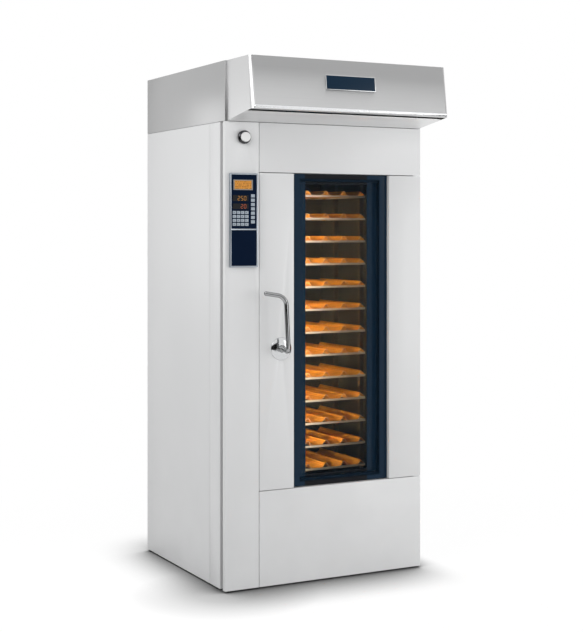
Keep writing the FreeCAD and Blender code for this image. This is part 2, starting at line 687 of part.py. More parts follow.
def insulation():
    """Mineral wool slabs round the chamber, with room for every pipe and shaft."""
    y0 = FRAME_BACK + POST
    y1 = REAR_POST_FRONT - INSULATION_GAP
    low = CHAMBER_FLOOR - SHEET
    high = PLENUM_ROOF + SHEET
    left = DUCT_LEFT - SHEET
    right = CHAMBER_RIGHT + SHEET
    rear = CHAMBER_REAR + SHEET
    slab_left = block(-POST_OUTER + INSULATION_GAP, left, y0, y1, low, high)
    slab_right = block(right, POST_OUTER, y0, y1, low, high)
    slab_rear = block(left, right, rear, REAR - SHEET - 2, low, high)
    slab_floor = block(left, right, y0, rear, SUPPORT_TOP, low)
    slab_roof = block(left, right, y0, y1, high, PANEL_TOP)
    drive = rod(DRIVE_RADIUS + 8, 200, vec(RACK_X, RACK_Y, SUPPORT_TOP - 50), vec(0, 0, 1))
    drain = rod(DRAIN_RADIUS + 1, 200, vec(DRAIN_X, EXHAUST_Y, SUPPORT_TOP - 50), vec(0, 0, 1))
    nozzle = rod(WATER_PIPE + 1, 200, vec(WATER_X, EXHAUST_Y, SUPPORT_TOP - 50), vec(0, 0, 1))
    shaft = rod(FAN_SHAFT_RADIUS + 6, 200, vec(RACK_X, RACK_Y, high - 50), vec(0, 0, 1))
    vent = rod(EXHAUST_RADIUS + 1, 200, vec(EXHAUST_X, EXHAUST_Y, high - 50), vec(0, 0, 1))
    slab_floor = slab_floor.cut([drive, drain, nozzle])
    slab_roof = slab_roof.cut([shaft, vent])
    return [slab_left, slab_right, slab_rear, slab_floor, slab_roof]


def lamp_corner():
    return vec(CHAMBER_LEFT, FRAME_BACK, LAMP_BOTTOM)


def lamp_housing():
    """Three sided channel in the front left corner of the chamber."""
    corner = lamp_corner()
    points = [corner, corner + vec(LAMP_LEG, 0, 0), corner + vec(0, LAMP_LEG, 0)]
    return [prism(points, vec(0, 0, LAMP_TOP - LAMP_BOTTOM))]


def lamp_lens():
    """Glass strip on the face of the lamp channel."""
    corner = lamp_corner() + vec(0, 0, LENS_MARGIN)
    first = corner + vec(LAMP_LEG * 0.85, LAMP_LEG * 0.15, 0)
    last = corner + vec(LAMP_LEG * 0.15, LAMP_LEG * 0.85, 0)
    out = vec(LENS_DEPTH, LENS_DEPTH, 0) * math.sqrt(0.5)
    inset = (last - first) * 0.12
    points = [first, first + inset + out, last - inset + out, last]
    return [prism(points, vec(0, 0, LAMP_TOP - LAMP_BOTTOM - 2 * LENS_MARGIN))]


def heating_element():
    """Tubular heater that runs round the fan and ends at the plenum roof."""
    z = (CHAMBER_CEILING + SHEET + PLENUM_ROOF) / 2
    back = RACK_Y + HEATER_HALF
    front = RACK_Y - HEATER_HALF
    left = RACK_X - HEATER_HALF
    right = RACK_X + HEATER_HALF
    first, last = RACK_X - HEATER_LEG, RACK_X + HEATER_LEG
    points = [vec(first, back, PLENUM_ROOF), vec(first, back, z), vec(left, back, z), vec(left, front, z),
              vec(right, front, z), vec(right, back, z), vec(last, back, z), vec(last, back, PLENUM_ROOF)]
    return [bent_bar(points, HEATER_BEND, HEATER_RADIUS)]


# Circulation fan


def fan_blade(inner, outer, sweep, thickness, height):
    """One curved blade that stands on the XY plane."""
    def polar(radius, angle):
        return vec(radius * math.cos(angle), radius * math.sin(angle), 0)
    middle = polar((inner + outer) / 2, sweep * 0.35)
    first = Part.Arc(polar(inner, 0), middle, polar(outer, sweep)).toShape()
    turn = thickness / ((inner + outer) / 2)
    second_middle = polar((inner + outer) / 2, sweep * 0.35 + turn)
    second = Part.Arc(polar(inner, turn), second_middle, polar(outer, sweep + turn)).toShape()
    start = Part.LineSegment(polar(inner, 0), polar(inner, turn)).toShape()
    end = Part.LineSegment(polar(outer, sweep), polar(outer, sweep + turn)).toShape()
    outline = Part.Wire(Part.__sortEdges__([first, end, second, start]))
    return Part.Face(outline).extrude(vec(0, 0, height))


def fan_rotor():
    """Impeller with back plate, blades and shroud ring, and the shaft that carries it."""
    up = vec(0, 0, 1)
    hub_radius = FAN_SHAFT_RADIUS + FAN_HUB_WALL
    base = vec(RACK_X, RACK_Y, FAN_BOTTOM)
    top = base + up * FAN_HEIGHT
    plate = rod(FAN_RADIUS, FAN_SHEET, top - up * FAN_SHEET, up)
    hub = rod(hub_radius, FAN_HUB_HEIGHT, top - up * FAN_HUB_HEIGHT, up)
    ring = tube(FAN_RADIUS, FAN_EYE, FAN_SHEET, base, up)
    inner, sweep = FAN_EYE - FAN_BLADE_INSET, math.radians(FAN_BLADE_SWEEP)
    blades = []
    for step in range(FAN_BLADES):
        blade = fan_blade(inner, FAN_RADIUS - 2, sweep, FAN_SHEET, FAN_HEIGHT - 2)
        blade.rotate(vec(0, 0, 0), up, step * 360 / FAN_BLADES)
        blade.translate(base + up)
        blades.append(blade)
    bore = rod(FAN_SHAFT_RADIUS, FAN_HEIGHT, base, up)
    wheel = plate.fuse([hub, ring] + blades).cut(bore)
    shaft_low = FAN_TOP - FAN_HUB_HEIGHT
    shaft_high = HOOD_BASE + FAN_SHAFT_RISE
    shaft = rod(FAN_SHAFT_RADIUS, shaft_high - shaft_low, vec(RACK_X, RACK_Y, shaft_low), up)
    return [wheel, shaft]


def motor_plate():
    """Plate between the top rails that carries the fan motor."""
    half = MOTOR_PLATE_DEPTH / 2
    plate = block(-POST_INNER, POST_INNER, RACK_Y - half, RACK_Y + half, PANEL_TOP, PANEL_TOP + MOTOR_PLATE)
    hole = rod(FAN_SHAFT_RADIUS + FAN_SHAFT_HOLE, 20, vec(RACK_X, RACK_Y, PANEL_TOP - 8), vec(0, 0, 1))
    return [plate.cut(hole)]


def fan_motor():
    """Flanged motor with a cowl and a terminal box."""
    low = PANEL_TOP + MOTOR_PLATE
    bore = FAN_SHAFT_RADIUS + FAN_SHAFT_FIT
    end = MOTOR_LENGTH
    flange, waist = MOTOR_RADIUS + MOTOR_FLANGE, MOTOR_RADIUS - MOTOR_STEP
    outline = [(bore, 0), (flange, 0), (flange, MOTOR_FLANGE_DEPTH),
               (waist, MOTOR_FLANGE_DEPTH + MOTOR_STEP), (waist, end - MOTOR_COWL - MOTOR_STEP),
               (MOTOR_RADIUS, end - MOTOR_COWL),
               (MOTOR_RADIUS, end - MOTOR_DOME), (MOTOR_RADIUS - MOTOR_DOME_TAPER, end), (0, end),
               (0, MOTOR_BORE_DEPTH), (bore, MOTOR_BORE_DEPTH)]
    body = turned(outline, vec(RACK_X, RACK_Y, low), vec(0, 0, 1))
    x0, z0 = RACK_X - TERMINAL_WIDTH / 2, low + TERMINAL_RISE
    y0, y1 = RACK_Y - MOTOR_RADIUS - TERMINAL_PROUD, RACK_Y - MOTOR_RADIUS + TERMINAL_SUNK
    box = block(x0, x0 + TERMINAL_WIDTH, y0, y1, z0, z0 + TERMINAL_WIDTH)
    return [body.fuse(box)]


# Rack drive and rack


def gear_motor():
    """Gearbox on a cross plate under the chamber, with its motor lying to the left."""
    top = SUPPORT_TOP - POST
    half = GEARBOX_WIDTH / 2
    reach = SUPPORT_SPREAD + POST / 2
    low = top - GEAR_PLATE
    side = GEAR_PLATE_WIDTH / 2
    plate = block(RACK_X - side, RACK_X + side, RACK_Y - reach, RACK_Y + reach, low, top)
    box = block(RACK_X - half, RACK_X + half, RACK_Y - half, RACK_Y + half, low - GEARBOX_HEIGHT, low)
    start = vec(RACK_X - half, RACK_Y, low - GEARBOX_HEIGHT / 2)
    drum = rod(GEAR_MOTOR_RADIUS, GEAR_MOTOR_LENGTH, start, vec(-1, 0, 0))
    cap = rod(GEAR_MOTOR_RADIUS + 4, GEAR_MOTOR_CAP, start - vec(GEAR_MOTOR_LENGTH, 0, 0), vec(-1, 0, 0))
    depth = drive_depth() + DRIVE_END_ROOM
    bore = rod(DRIVE_RADIUS + DRIVE_FIT, depth, vec(RACK_X, RACK_Y, top - depth), vec(0, 0, 1))
    return [plate.fuse([box, drum, cap]).cut(bore)]


def drive_depth():
    """How far the drive shaft enters the gearbox."""
    return GEAR_PLATE + GEARBOX_HEIGHT * 0.65


def floor_bearing():
    """Flanged bearing on the chamber floor round the drive shaft."""
    bore = DRIVE_RADIUS + DRIVE_FIT
    outline = [(bore, 0), (BEARING_FLANGE, 0), (BEARING_FLANGE, BEARING_FLANGE_DEPTH),
               (BEARING_RADIUS, BEARING_SHOULDER), (BEARING_RADIUS, BEARING_HEIGHT), (bore, BEARING_HEIGHT)]
    return [turned(outline, vec(RACK_X, RACK_Y, CHAMBER_FLOOR), vec(0, 0, 1))]


def turntable():
    """Round table with a turned down rim, on the drive shaft."""
    radius = math.hypot(RACK_OUTER, RACK_POST_Y + RACK_POST / 2) - 2
    depth = TURNTABLE_THICKNESS
    low = SUPPORT_TOP - POST - drive_depth() - TURNTABLE_BOTTOM
    outline = [(0, low), (DRIVE_RADIUS, low), (DRIVE_RADIUS, 0), (radius - TURNTABLE_RIM, 0),
               (radius, depth * 0.4), (radius, depth), (0, depth)]
    return [turned(outline, vec(RACK_X, RACK_Y, TURNTABLE_BOTTOM), vec(0, 0, 1))]


def rack_frame():
    """Four posts with cross bars at the foot and at the head."""
    bars = []
    y_out = RACK_POST_Y + RACK_POST / 2
    y_in = RACK_POST_Y - RACK_POST / 2
    low, high = TURNTABLE_TOP, RACK_TOP
    for sx in (-1, 1):
        x0, x1 = sorted((RACK_X + sx * RACK_INNER, RACK_X + sx * RACK_OUTER))
        for sy in (-1, 1):
            y0, y1 = sorted((RACK_Y + sy * y_in, RACK_Y + sy * y_out))
            bars.append(block(x0, x1, y0, y1, low, high))
        for z0 in (low, high - RACK_POST):
            bars.append(block(x0, x1, RACK_Y - y_in, RACK_Y + y_in, z0, z0 + RACK_POST))
    for sy in (-1, 1):
        y0, y1 = sorted((RACK_Y + sy * y_in, RACK_Y + sy * y_out))
        for z0 in (low, high - RACK_POST):
            bars.append(block(RACK_X - RACK_INNER, RACK_X + RACK_INNER, y0, y1, z0, z0 + RACK_POST))
    return bars


def tray_levels():
    return [TRAY_FIRST + step * TRAY_PITCH for step in range(TRAY_COUNT)]


def tray_runners():
    """Angle strips on the posts, two for each tray."""
    outer = RACK_INNER
    inner = RACK_INNER - RUNNER_SHEET
    ledge = inner - RUNNER_LEDGE
    half = TRAY_DEPTH / 2 - TRAY_CORNER
    runners = []
    for level in tray_levels():
        low = level - RUNNER_SHEET
        outline = [(outer, low), (outer, low + RUNNER_HEIGHT), (inner, low + RUNNER_HEIGHT), (inner, level),
                   (ledge, level), (ledge, low)]
        for side in (-1, 1):
            points = [vec(RACK_X + side * x, RACK_Y - half, z) for x, z in outline]
            runners.append(prism(points, vec(0, 2 * half, 0)))
    return runners


def flute_sheet(half_width, depth, top, edge):
    """Sheet with round flutes along Y, from the crest height down to the edge height at both sides."""
    radius = (FLUTE_CHORD ** 2 / 4 + FLUTE_SAG ** 2) / (2 * FLUTE_SAG)
    rise = radius - FLUTE_SAG
    lower = math.sqrt((radius + TRAY_SHEET) ** 2 - (rise + TRAY_SHEET) ** 2)
    upper_edges = []
    lower_edges = []
    upper_from = vec(-half_width, 0, edge)
    lower_from = vec(-half_width, 0, edge - TRAY_SHEET)
    for step in range(FLUTE_COUNT):
        x = (step - (FLUTE_COUNT - 1) / 2) * FLUTE_PITCH
        a, b = vec(x - FLUTE_CHORD / 2, 0, top), vec(x + FLUTE_CHORD / 2, 0, top)
        upper_edges.append(Part.LineSegment(upper_from, a).toShape())
        upper_edges.append(Part.Arc(a, vec(x, 0, top - FLUTE_SAG), b).toShape())
        upper_from = b
        a, b = vec(x - lower, 0, top - TRAY_SHEET), vec(x + lower, 0, top - TRAY_SHEET)
        lower_edges.append(Part.LineSegment(lower_from, a).toShape())
        lower_edges.append(Part.Arc(a, vec(x, 0, top - FLUTE_SAG - TRAY_SHEET), b).toShape())
        lower_from = b
    upper_to = vec(half_width, 0, edge)
    lower_to = vec(half_width, 0, edge - TRAY_SHEET)
    upper_edges.append(Part.LineSegment(upper_from, upper_to).toShape())
    lower_edges.append(Part.LineSegment(lower_from, lower_to).toShape())
    left = Part.LineSegment(vec(-half_width, 0, edge), vec(-half_width, 0, edge - TRAY_SHEET)).toShape()
    right = Part.LineSegment(upper_to, lower_to).toShape()
    outline = Part.Wire(Part.__sortEdges__(upper_edges + [right] + lower_edges + [left]))
    sheet = Part.Face(outline).extrude(vec(0, depth, 0))
    sheet.translate(vec(0, -depth / 2, 0))
    return sheet


def baking_trays():
    """Fluted loaf trays in a low frame with round corners, one on each pair of runners."""
    half_x, half_y = TRAY_WIDTH / 2, TRAY_DEPTH / 2
    in_x, in_y = half_x - TRAY_RIM_WALL, half_y - TRAY_RIM_WALL
    corner = TRAY_CORNER - TRAY_RIM_WALL
    outside = rounded_block(-half_x, half_x, -half_y, half_y, 0, TRAY_RIM, TRAY_CORNER)
    crest = FLUTE_RISE + FLUTE_SAG
    inside = rounded_block(-in_x, in_x, -in_y, in_y, -5, crest + 5, corner)
    sheet = flute_sheet(in_x, 2 * in_y, crest, TRAY_RIM).common(inside)
    tray = outside.cut(inside).fuse(sheet)
    trays = []
    for level in tray_levels():
        trays.append(tray.translated(vec(RACK_X, RACK_Y, level)))
    return trays


# Hood, exhaust and flue


def top_casing():
    """Roof casing, folded in at the foot and round its open front, where the hood meets it."""
    body = block(-HALF, HALF, FRONT, REAR, HOOD_BASE, BODY_HEIGHT)
    inside = HALF - SHEET
    low = HOOD_BASE + SHEET
    room = block(-inside, inside, FRONT + SHEET, REAR - SHEET, low, BODY_HEIGHT - SHEET)
    half = HALF - HOOD_INSET - CASING_FOLD
    mouth = block(-half, half, FRONT - 1, FRONT + SHEET + 1, low, BODY_HEIGHT - CASING_FOLD)
    foot = block(-POST_INNER, POST_INNER, FRONT - 1, REAR_POST_FRONT, HOOD_BASE - 1, HOOD_BASE + SHEET + 1)
    flue = rod(FLUE_RADIUS - FLUE_WALL, 20, vec(EXHAUST_X, EXHAUST_Y, BODY_HEIGHT - 10), vec(0, 0, 1))
    return [body.cut([room, mouth, foot, flue])]


def hood_slope(y):
    """Height of the hood underside at a distance in front of the cabinet."""
    return HOOD_BASE + HOOD_LIP_RISE * y / HOOD_OVERHANG_LOW


def leaning_prism(outline, half, radius):
    """Prism across the width with its two leaning front edges rounded."""
    body = prism([vec(-half, y, z) for y, z in outline], vec(2 * half, 0, 0))
    leaning = []
    for edge in body.Edges:
        heading = edge.tangentAt(edge.FirstParameter)
        if abs(heading.z) > 0.5 and abs(heading.y) > 0.01:
            leaning.append(edge)
    return body.makeFillet(radius, leaning)


def hood_canopy():
    """Leaning front, top and two cheeks of the hood, with a turned in lip and a bead along it."""
    half = HALF - HOOD_INSET
    top_y = FRONT - HOOD_OVERHANG_TOP
    low_y = FRONT - HOOD_OVERHANG_LOW
    low_z = HOOD_BASE + HOOD_LIP_RISE
    shell = [(FRONT, BODY_HEIGHT), (top_y, BODY_HEIGHT), (low_y, low_z), (FRONT, HOOD_BASE)]
    body = leaning_prism(shell, half, HOOD_EDGE)
    lip_y = low_y + HOOD_LIP
    lip_z = hood_slope(HOOD_OVERHANG_LOW - HOOD_LIP)
    room = [(FRONT + 1, BODY_HEIGHT - SHEET), (top_y + SHEET, BODY_HEIGHT - SHEET),
            (low_y + SHEET, low_z + SHEET), (lip_y, lip_z + SHEET), (FRONT + 1, lip_z + SHEET)]
    hollow = leaning_prism(room, half - SHEET, HOOD_EDGE - SHEET)
    floor = block(-half + SHEET, half - SHEET, lip_y, FRONT + 1, HOOD_BASE - 5, lip_z + SHEET + 1)
    bead_y = low_y - BEAD_PROUD + HOOD_BEAD
    bead_half = half - HOOD_EDGE
    bead = rod(HOOD_BEAD, 2 * bead_half, vec(-bead_half, bead_y, low_z + HOOD_BEAD), vec(1, 0, 0))
    ends = [Part.makeSphere(HOOD_BEAD, vec(side * bead_half, bead_y, low_z + HOOD_BEAD)) for side in (-1, 1)]
    return [body.cut([hollow, floor]).fuse([bead] + ends)]


def hood_underside():
    """Sloping plate under the hood, behind the suction slot."""
    half = HALF - HOOD_INSET - SHEET
    front = HOOD_OVERHANG_LOW - HOOD_LIP - HOOD_SLOT
    y = FRONT - front
    z = hood_slope(front)
    plate = [(FRONT, HOOD_BASE), (y, z), (y, z + HOOD_UPSTAND), (y + SHEET, z + HOOD_UPSTAND),
             (y + SHEET, z + SHEET), (FRONT, HOOD_BASE + SHEET)]
    return [prism([vec(-half, y, z) for y, z in plate], vec(2 * half, 0, 0))]


def flue_collar():
    """Spigot on the roof for the flue pipe."""
    outer = FLUE_RADIUS
    inner = FLUE_RADIUS - FLUE_WALL
    outline = [(inner, 0), (outer + FLUE_FLANGE, 0), (outer + FLUE_FLANGE, 3), (outer, 3),
               (outer, FLUE_HEIGHT), (inner, FLUE_HEIGHT)]
    return [turned(outline, vec(EXHAUST_X, EXHAUST_Y, BODY_HEIGHT), vec(0, 0, 1))]


def exhaust_duct():
    """Steam pipe from the plenum roof, with holes for the damper spindle."""
    low = PLENUM_ROOF + SHEET
    top = HOOD_BASE + EXHAUST_RISE / 2
    base = vec(EXHAUST_X, EXHAUST_Y, low)
    pipe = tube(EXHAUST_RADIUS, EXHAUST_RADIUS - EXHAUST_WALL, top - low, base, vec(0, 0, 1))
    reach = EXHAUST_RADIUS + 20
    start = vec(EXHAUST_X - reach, EXHAUST_Y, damper_height())
    hole = rod(DAMPER_SPINDLE + DAMPER_FIT, 2 * reach, start, vec(1, 0, 0))
    return [pipe.cut(hole)]


def damper_height():
    return HOOD_BASE + DAMPER_RISE


def damper_flap():
    """Round flap on a spindle, closed at rest, with a small lever outside the pipe."""
    z = damper_height()
    radius = EXHAUST_RADIUS - EXHAUST_WALL - DAMPER_GAP
    reach = EXHAUST_RADIUS + DAMPER_REACH
    disc = rod(radius, 2, vec(EXHAUST_X, EXHAUST_Y, z - 1), vec(0, 0, 1))
    spindle = rod(DAMPER_SPINDLE, 2 * reach, vec(EXHAUST_X - reach, EXHAUST_Y, z), vec(1, 0, 0))
    x0 = EXHAUST_X - reach
    half = DAMPER_ARM_HALF
    arm = block(x0, x0 + DAMPER_ARM_SHEET, EXHAUST_Y - half, EXHAUST_Y + DAMPER_ARM, z - half, z + half)
    return [disc.fuse([spindle, arm])]


def hood_fan_stator():
    """Round fan housing under the roof, with a motor on three struts."""
    top = BODY_HEIGHT - SHEET
    low = top - HOOD_FAN_DEPTH
    base = vec(EXHAUST_X, EXHAUST_Y, low)
    up = vec(0, 0, 1)
    inner = FLUE_RADIUS - FLUE_WALL
    shell = tube(FLUE_RADIUS, inner, HOOD_FAN_DEPTH, base, up)
    flange = tube(FLUE_RADIUS + FLUE_FLANGE, inner, 3, base + up * (HOOD_FAN_DEPTH - 3), up)
    motor_low = HOOD_FAN_DEPTH - HOOD_FAN_MOTOR - 2
    motor = rod(HOOD_FAN_HUB, HOOD_FAN_MOTOR, base + up * motor_low, up)
    struts = []
    for step in range(3):
        z0, z1 = motor_low + HOOD_FAN_STRUT, motor_low + HOOD_FAN_MOTOR * 0.6
        strut = block(HOOD_FAN_HUB - 4, inner + 1, -HOOD_FAN_STRUT / 2, HOOD_FAN_STRUT / 2, z0, z1)
        strut.rotate(vec(0, 0, 0), up, step * 120)
        strut.translate(base)
        struts.append(strut)
    bore = rod(HOOD_FAN_SHAFT + FAN_SHAFT_FIT, HOOD_FAN_MOTOR * 0.65, base + up * motor_low, up)
    return [shell.fuse([flange, motor] + struts).cut(bore)]


def hood_fan_impeller():
    """Axial fan wheel with slanted blades on a short shaft."""
    low = BODY_HEIGHT - SHEET - HOOD_FAN_DEPTH
    base = vec(EXHAUST_X, EXHAUST_Y, low)
    up = vec(0, 0, 1)
    start = HOOD_FAN_INTAKE
    end = start + HOOD_FAN_WHEEL
    shaft_end = HOOD_FAN_DEPTH - HOOD_FAN_MOTOR / 2
    tip = FLUE_RADIUS - FLUE_WALL - HOOD_FAN_GAP
    nose = HOOD_FAN_HUB * 0.35
    outline = [(0, start), (HOOD_FAN_HUB - nose, start), (HOOD_FAN_HUB, start + nose), (HOOD_FAN_HUB, end),
               (HOOD_FAN_SHAFT, end), (HOOD_FAN_SHAFT, shaft_end), (0, shaft_end)]
    hub = turned(outline, base, up)
    envelope = rod(tip, HOOD_FAN_WHEEL, base + up * start, up)
    reach = HOOD_FAN_WHEEL * 0.6
    blades = []
    for step in range(HOOD_FAN_BLADES):
        blade = block(HOOD_FAN_HUB - 4, tip + 10, -HOOD_FAN_BLADE / 2, HOOD_FAN_BLADE / 2, -reach, reach)
        blade.rotate(vec(0, 0, 0), vec(1, 0, 0), HOOD_FAN_ANGLE)
        blade.rotate(vec(0, 0, 0), up, step * 360 / HOOD_FAN_BLADES)
        blade.translate(base + up * (start + HOOD_FAN_WHEEL / 2 + 2))
        blades.append(blade.common(envelope))
    return [hub.fuse(blades)]


# Door


def door_skin(x0, x1):
    return pan(x0, x1, FRONT, FRONT + SKIN_DEPTH, DOOR_BOTTOM, DOOR_TOP)


def door_left_skin():
    """Folded skin left of the window, with the hole for the handle."""
    hole = rod(SPINDLE_RADIUS + 1, 10, vec(HANDLE_X, FRONT - 4, HANDLE_HEIGHT), vec(0, 1, 0))
    return [door_skin(DOOR_LEFT, WINDOW_MID - WINDOW_HALF).cut(hole)]


def door_right_skin():
    """Folded skin right of the window, with holes for the hinge pins."""
    skin = door_skin(WINDOW_MID + WINDOW_HALF, DOOR_RIGHT)
    low = rod(HINGE_PIN_RADIUS + 1, 10, vec(HINGE_X, HINGE_Y, DOOR_BOTTOM - 4), vec(0, 0, 1))
    high = rod(HINGE_PIN_RADIUS + 1, 10, vec(HINGE_X, HINGE_Y, DOOR_TOP - 6), vec(0, 0, 1))
    return [skin.cut([low, high])]


def door_core():
    """Insulated stiles and rails, with the pocket for the latch in the left stile."""
    low, high = DOOR_BOTTOM, DOOR_TOP
    x0, x1 = WINDOW_MID - SPACER_HALF, WINDOW_MID + SPACER_HALF
    left = block(CORE_LEFT, x0, CORE_FRONT, CORE_BACK, low, high)
    right = block(x1, CORE_RIGHT, CORE_FRONT, CORE_BACK, low, high)
    foot = block(x0, x1, CORE_FRONT, CORE_BACK, low, low + RAIL_HEIGHT)
    head = block(x0, x1, CORE_FRONT, CORE_BACK, high - RAIL_HEIGHT, high)
    reach = CRANK_RADIUS + CRANK_ROOM
    bolt_back = BOLT_FRONT + BOLT_THICKNESS
    pocket = block(HANDLE_X - reach, HANDLE_X + reach, CORE_FRONT + 3, bolt_back + 4,
                   HANDLE_HEIGHT - reach, HANDLE_HEIGHT + reach)
    channel = block(CORE_LEFT - 1, HANDLE_X, BOLT_FRONT - BOLT_FIT, bolt_back + BOLT_FIT,
                    BOLT_LOW - BOLT_FIT, BOLT_LOW + BOLT_HEIGHT + BOLT_FIT)
    face = vec(HANDLE_X, CORE_FRONT - 1, HANDLE_HEIGHT)
    spindle = rod(SPINDLE_RADIUS + SPINDLE_FIT, 10, face, vec(0, 1, 0))
    return [left.cut([pocket, channel, spindle]), right, foot, head]


def door_inner_panel():
    """Flat inner skin with the opening for the window."""
    panel = block(CORE_LEFT, CORE_RIGHT, CORE_BACK, DOOR_BACK, DOOR_BOTTOM, DOOR_TOP)
    half = INNER_CLEAR / 2 + PANEL_LAP
    edge = RAIL_HEIGHT + SPACER_WIDTH + PANEL_LAP
    window = block(WINDOW_MID - half, WINDOW_MID + half, CORE_BACK - 1, DOOR_BACK + 1,
                   DOOR_BOTTOM + edge, DOOR_TOP - edge)
    return [panel.cut(window)]


def outer_glass():
    half = WINDOW_HALF + GLASS_LAP
    return [block(WINDOW_MID - half, WINDOW_MID + half, GLASS_FACE, CORE_FRONT, DOOR_BOTTOM, DOOR_TOP)]


def inner_glass():
    half = SPACER_HALF - GLASS_FIT
    low = DOOR_BOTTOM + RAIL_HEIGHT + GLASS_FIT
    high = DOOR_TOP - RAIL_HEIGHT - GLASS_FIT
    return [block(WINDOW_MID - half, WINDOW_MID + half, CORE_BACK - INNER_GLASS, CORE_BACK, low, high)]


def glass_spacer():
    """Four strips between the two panes."""
    out = SPACER_HALF
    inner = SPACER_HALF - SPACER_WIDTH
    low, high = DOOR_BOTTOM + RAIL_HEIGHT, DOOR_TOP - RAIL_HEIGHT
    y0, y1 = CORE_FRONT, CORE_BACK - INNER_GLASS
    left = block(WINDOW_MID - out, WINDOW_MID - inner, y0, y1, low, high)
    right = block(WINDOW_MID + inner, WINDOW_MID + out, y0, y1, low, high)
    foot = block(WINDOW_MID - inner, WINDOW_MID + inner, y0, y1, low, low + SPACER_WIDTH)
    head = block(WINDOW_MID - inner, WINDOW_MID + inner, y0, y1, high - SPACER_WIDTH, high)
    return [left, right, foot, head]


def door_seal():
    """Four strips of round nosed seal on the inner skin round the mouth."""
    x0, x1 = MOUTH_LEFT - 1, MOUTH_RIGHT + 1
    z0, z1 = MOUTH_BOTTOM - 1, MOUTH_TOP + 1
    upright = vec(0, 0, z1 - z0 + 2 * SEAL_WIDTH)
    level = vec(x1 - x0, 0, 0)
    left = seal_strip(vec(x0 - SEAL_WIDTH, DOOR_BACK, z0 - SEAL_WIDTH), vec(1, 0, 0), upright)
    right = seal_strip(vec(x1, DOOR_BACK, z0 - SEAL_WIDTH), vec(1, 0, 0), upright)
    foot = seal_strip(vec(x0, DOOR_BACK, z0 - SEAL_WIDTH), vec(0, 0, 1), level)
    head = seal_strip(vec(x0, DOOR_BACK, z1), vec(0, 0, 1), level)
    return [left, right, foot, head]


def seal_strip(corner, across, run):
    """Strip with a flat back on the door and a round nose towards the oven."""
    side = vec(0, SEAL_DEPTH - SEAL_WIDTH / 2, 0)
    far = corner + across * SEAL_WIDTH
    nose = corner + across * (SEAL_WIDTH / 2) + vec(0, SEAL_DEPTH, 0)
    edges = [Part.LineSegment(corner, corner + side).toShape(),
             Part.Arc(corner + side, nose, far + side).toShape(),
             Part.LineSegment(far + side, far).toShape(),
             Part.LineSegment(far, corner).toShape()]
    return Part.Face(Part.Wire(edges)).extrude(run)


def hinge_blocks():
    """Bored blocks inside the door, one at each end."""
    solids = []
    length = HINGE_PIN_LENGTH + HINGE_BLOCK_END
    for z0 in (DOOR_BOTTOM + SHEET, DOOR_TOP - SHEET - length):
        x0 = CORE_RIGHT - HINGE_BLOCK_REACH
        body = block(x0, DOOR_RIGHT - SHEET, FRONT + SHEET, GLASS_FACE, z0, z0 + length)
        foot = block(x0, CORE_RIGHT, GLASS_FACE, CORE_FRONT, z0, z0 + length)
        bore = rod(HINGE_PIN_RADIUS + HINGE_RUNNING_FIT, length, vec(HINGE_X, HINGE_Y, z0), vec(0, 0, 1))
        solids.append(body.fuse(foot).removeSplitter().cut(bore))
    return solids


def hinge_brackets():
    """Plates in the gaps over and under the door, each with its pivot pin."""
    spare = (FACADE_GAP - HINGE_PLATE) / 2
    x0 = DOOR_RIGHT - SHEET - HINGE_PLATE_WIDTH
    x1 = DOOR_RIGHT - SHEET
    y0 = FRONT + HINGE_SETBACK - HINGE_PIN_RADIUS - SHEET
    strip = FRONT + STRIP_START - SEAM_GAP
    tail = DOOR_RIGHT - STRIP_FOLD - SEAM_GAP
    low = LOWER_TOP + spare
    high = DOOR_TOP + spare
    outline = [(x0, y0), (x1, y0), (x1, strip), (tail, strip), (tail, FRAME_FRONT), (x0, FRAME_FRONT)]
    lower = prism([vec(x, y, low) for x, y in outline], vec(0, 0, HINGE_PLATE))
    upper = prism([vec(x, y, high) for x, y in outline], vec(0, 0, HINGE_PLATE))
    length = HINGE_PLATE + HINGE_PIN_LENGTH
    up = rod(HINGE_PIN_RADIUS, length, vec(HINGE_X, HINGE_Y, low), vec(0, 0, 1))
    down = rod(HINGE_PIN_RADIUS, length, vec(HINGE_X, HINGE_Y, high + HINGE_PLATE), vec(0, 0, -1))
    return [lower.fuse(up), upper.fuse(down)]


# Handle and latch


def handle_rosette():
    """Domed disc on the door round the handle spindle."""
    bore = SPINDLE_RADIUS + SPINDLE_FIT
    outline = [(bore, 0), (ROSETTE_RADIUS, 0), (ROSETTE_RADIUS, ROSETTE_EDGE),
               (ROSETTE_RADIUS - ROSETTE_RIM, ROSETTE_SHOULDER),
               (ROSETTE_RADIUS - ROSETTE_SLOPE, ROSETTE_DEPTH), (bore, ROSETTE_DEPTH)]
    return [turned(outline, vec(HANDLE_X, FRONT, HANDLE_HEIGHT), vec(0, -1, 0))]


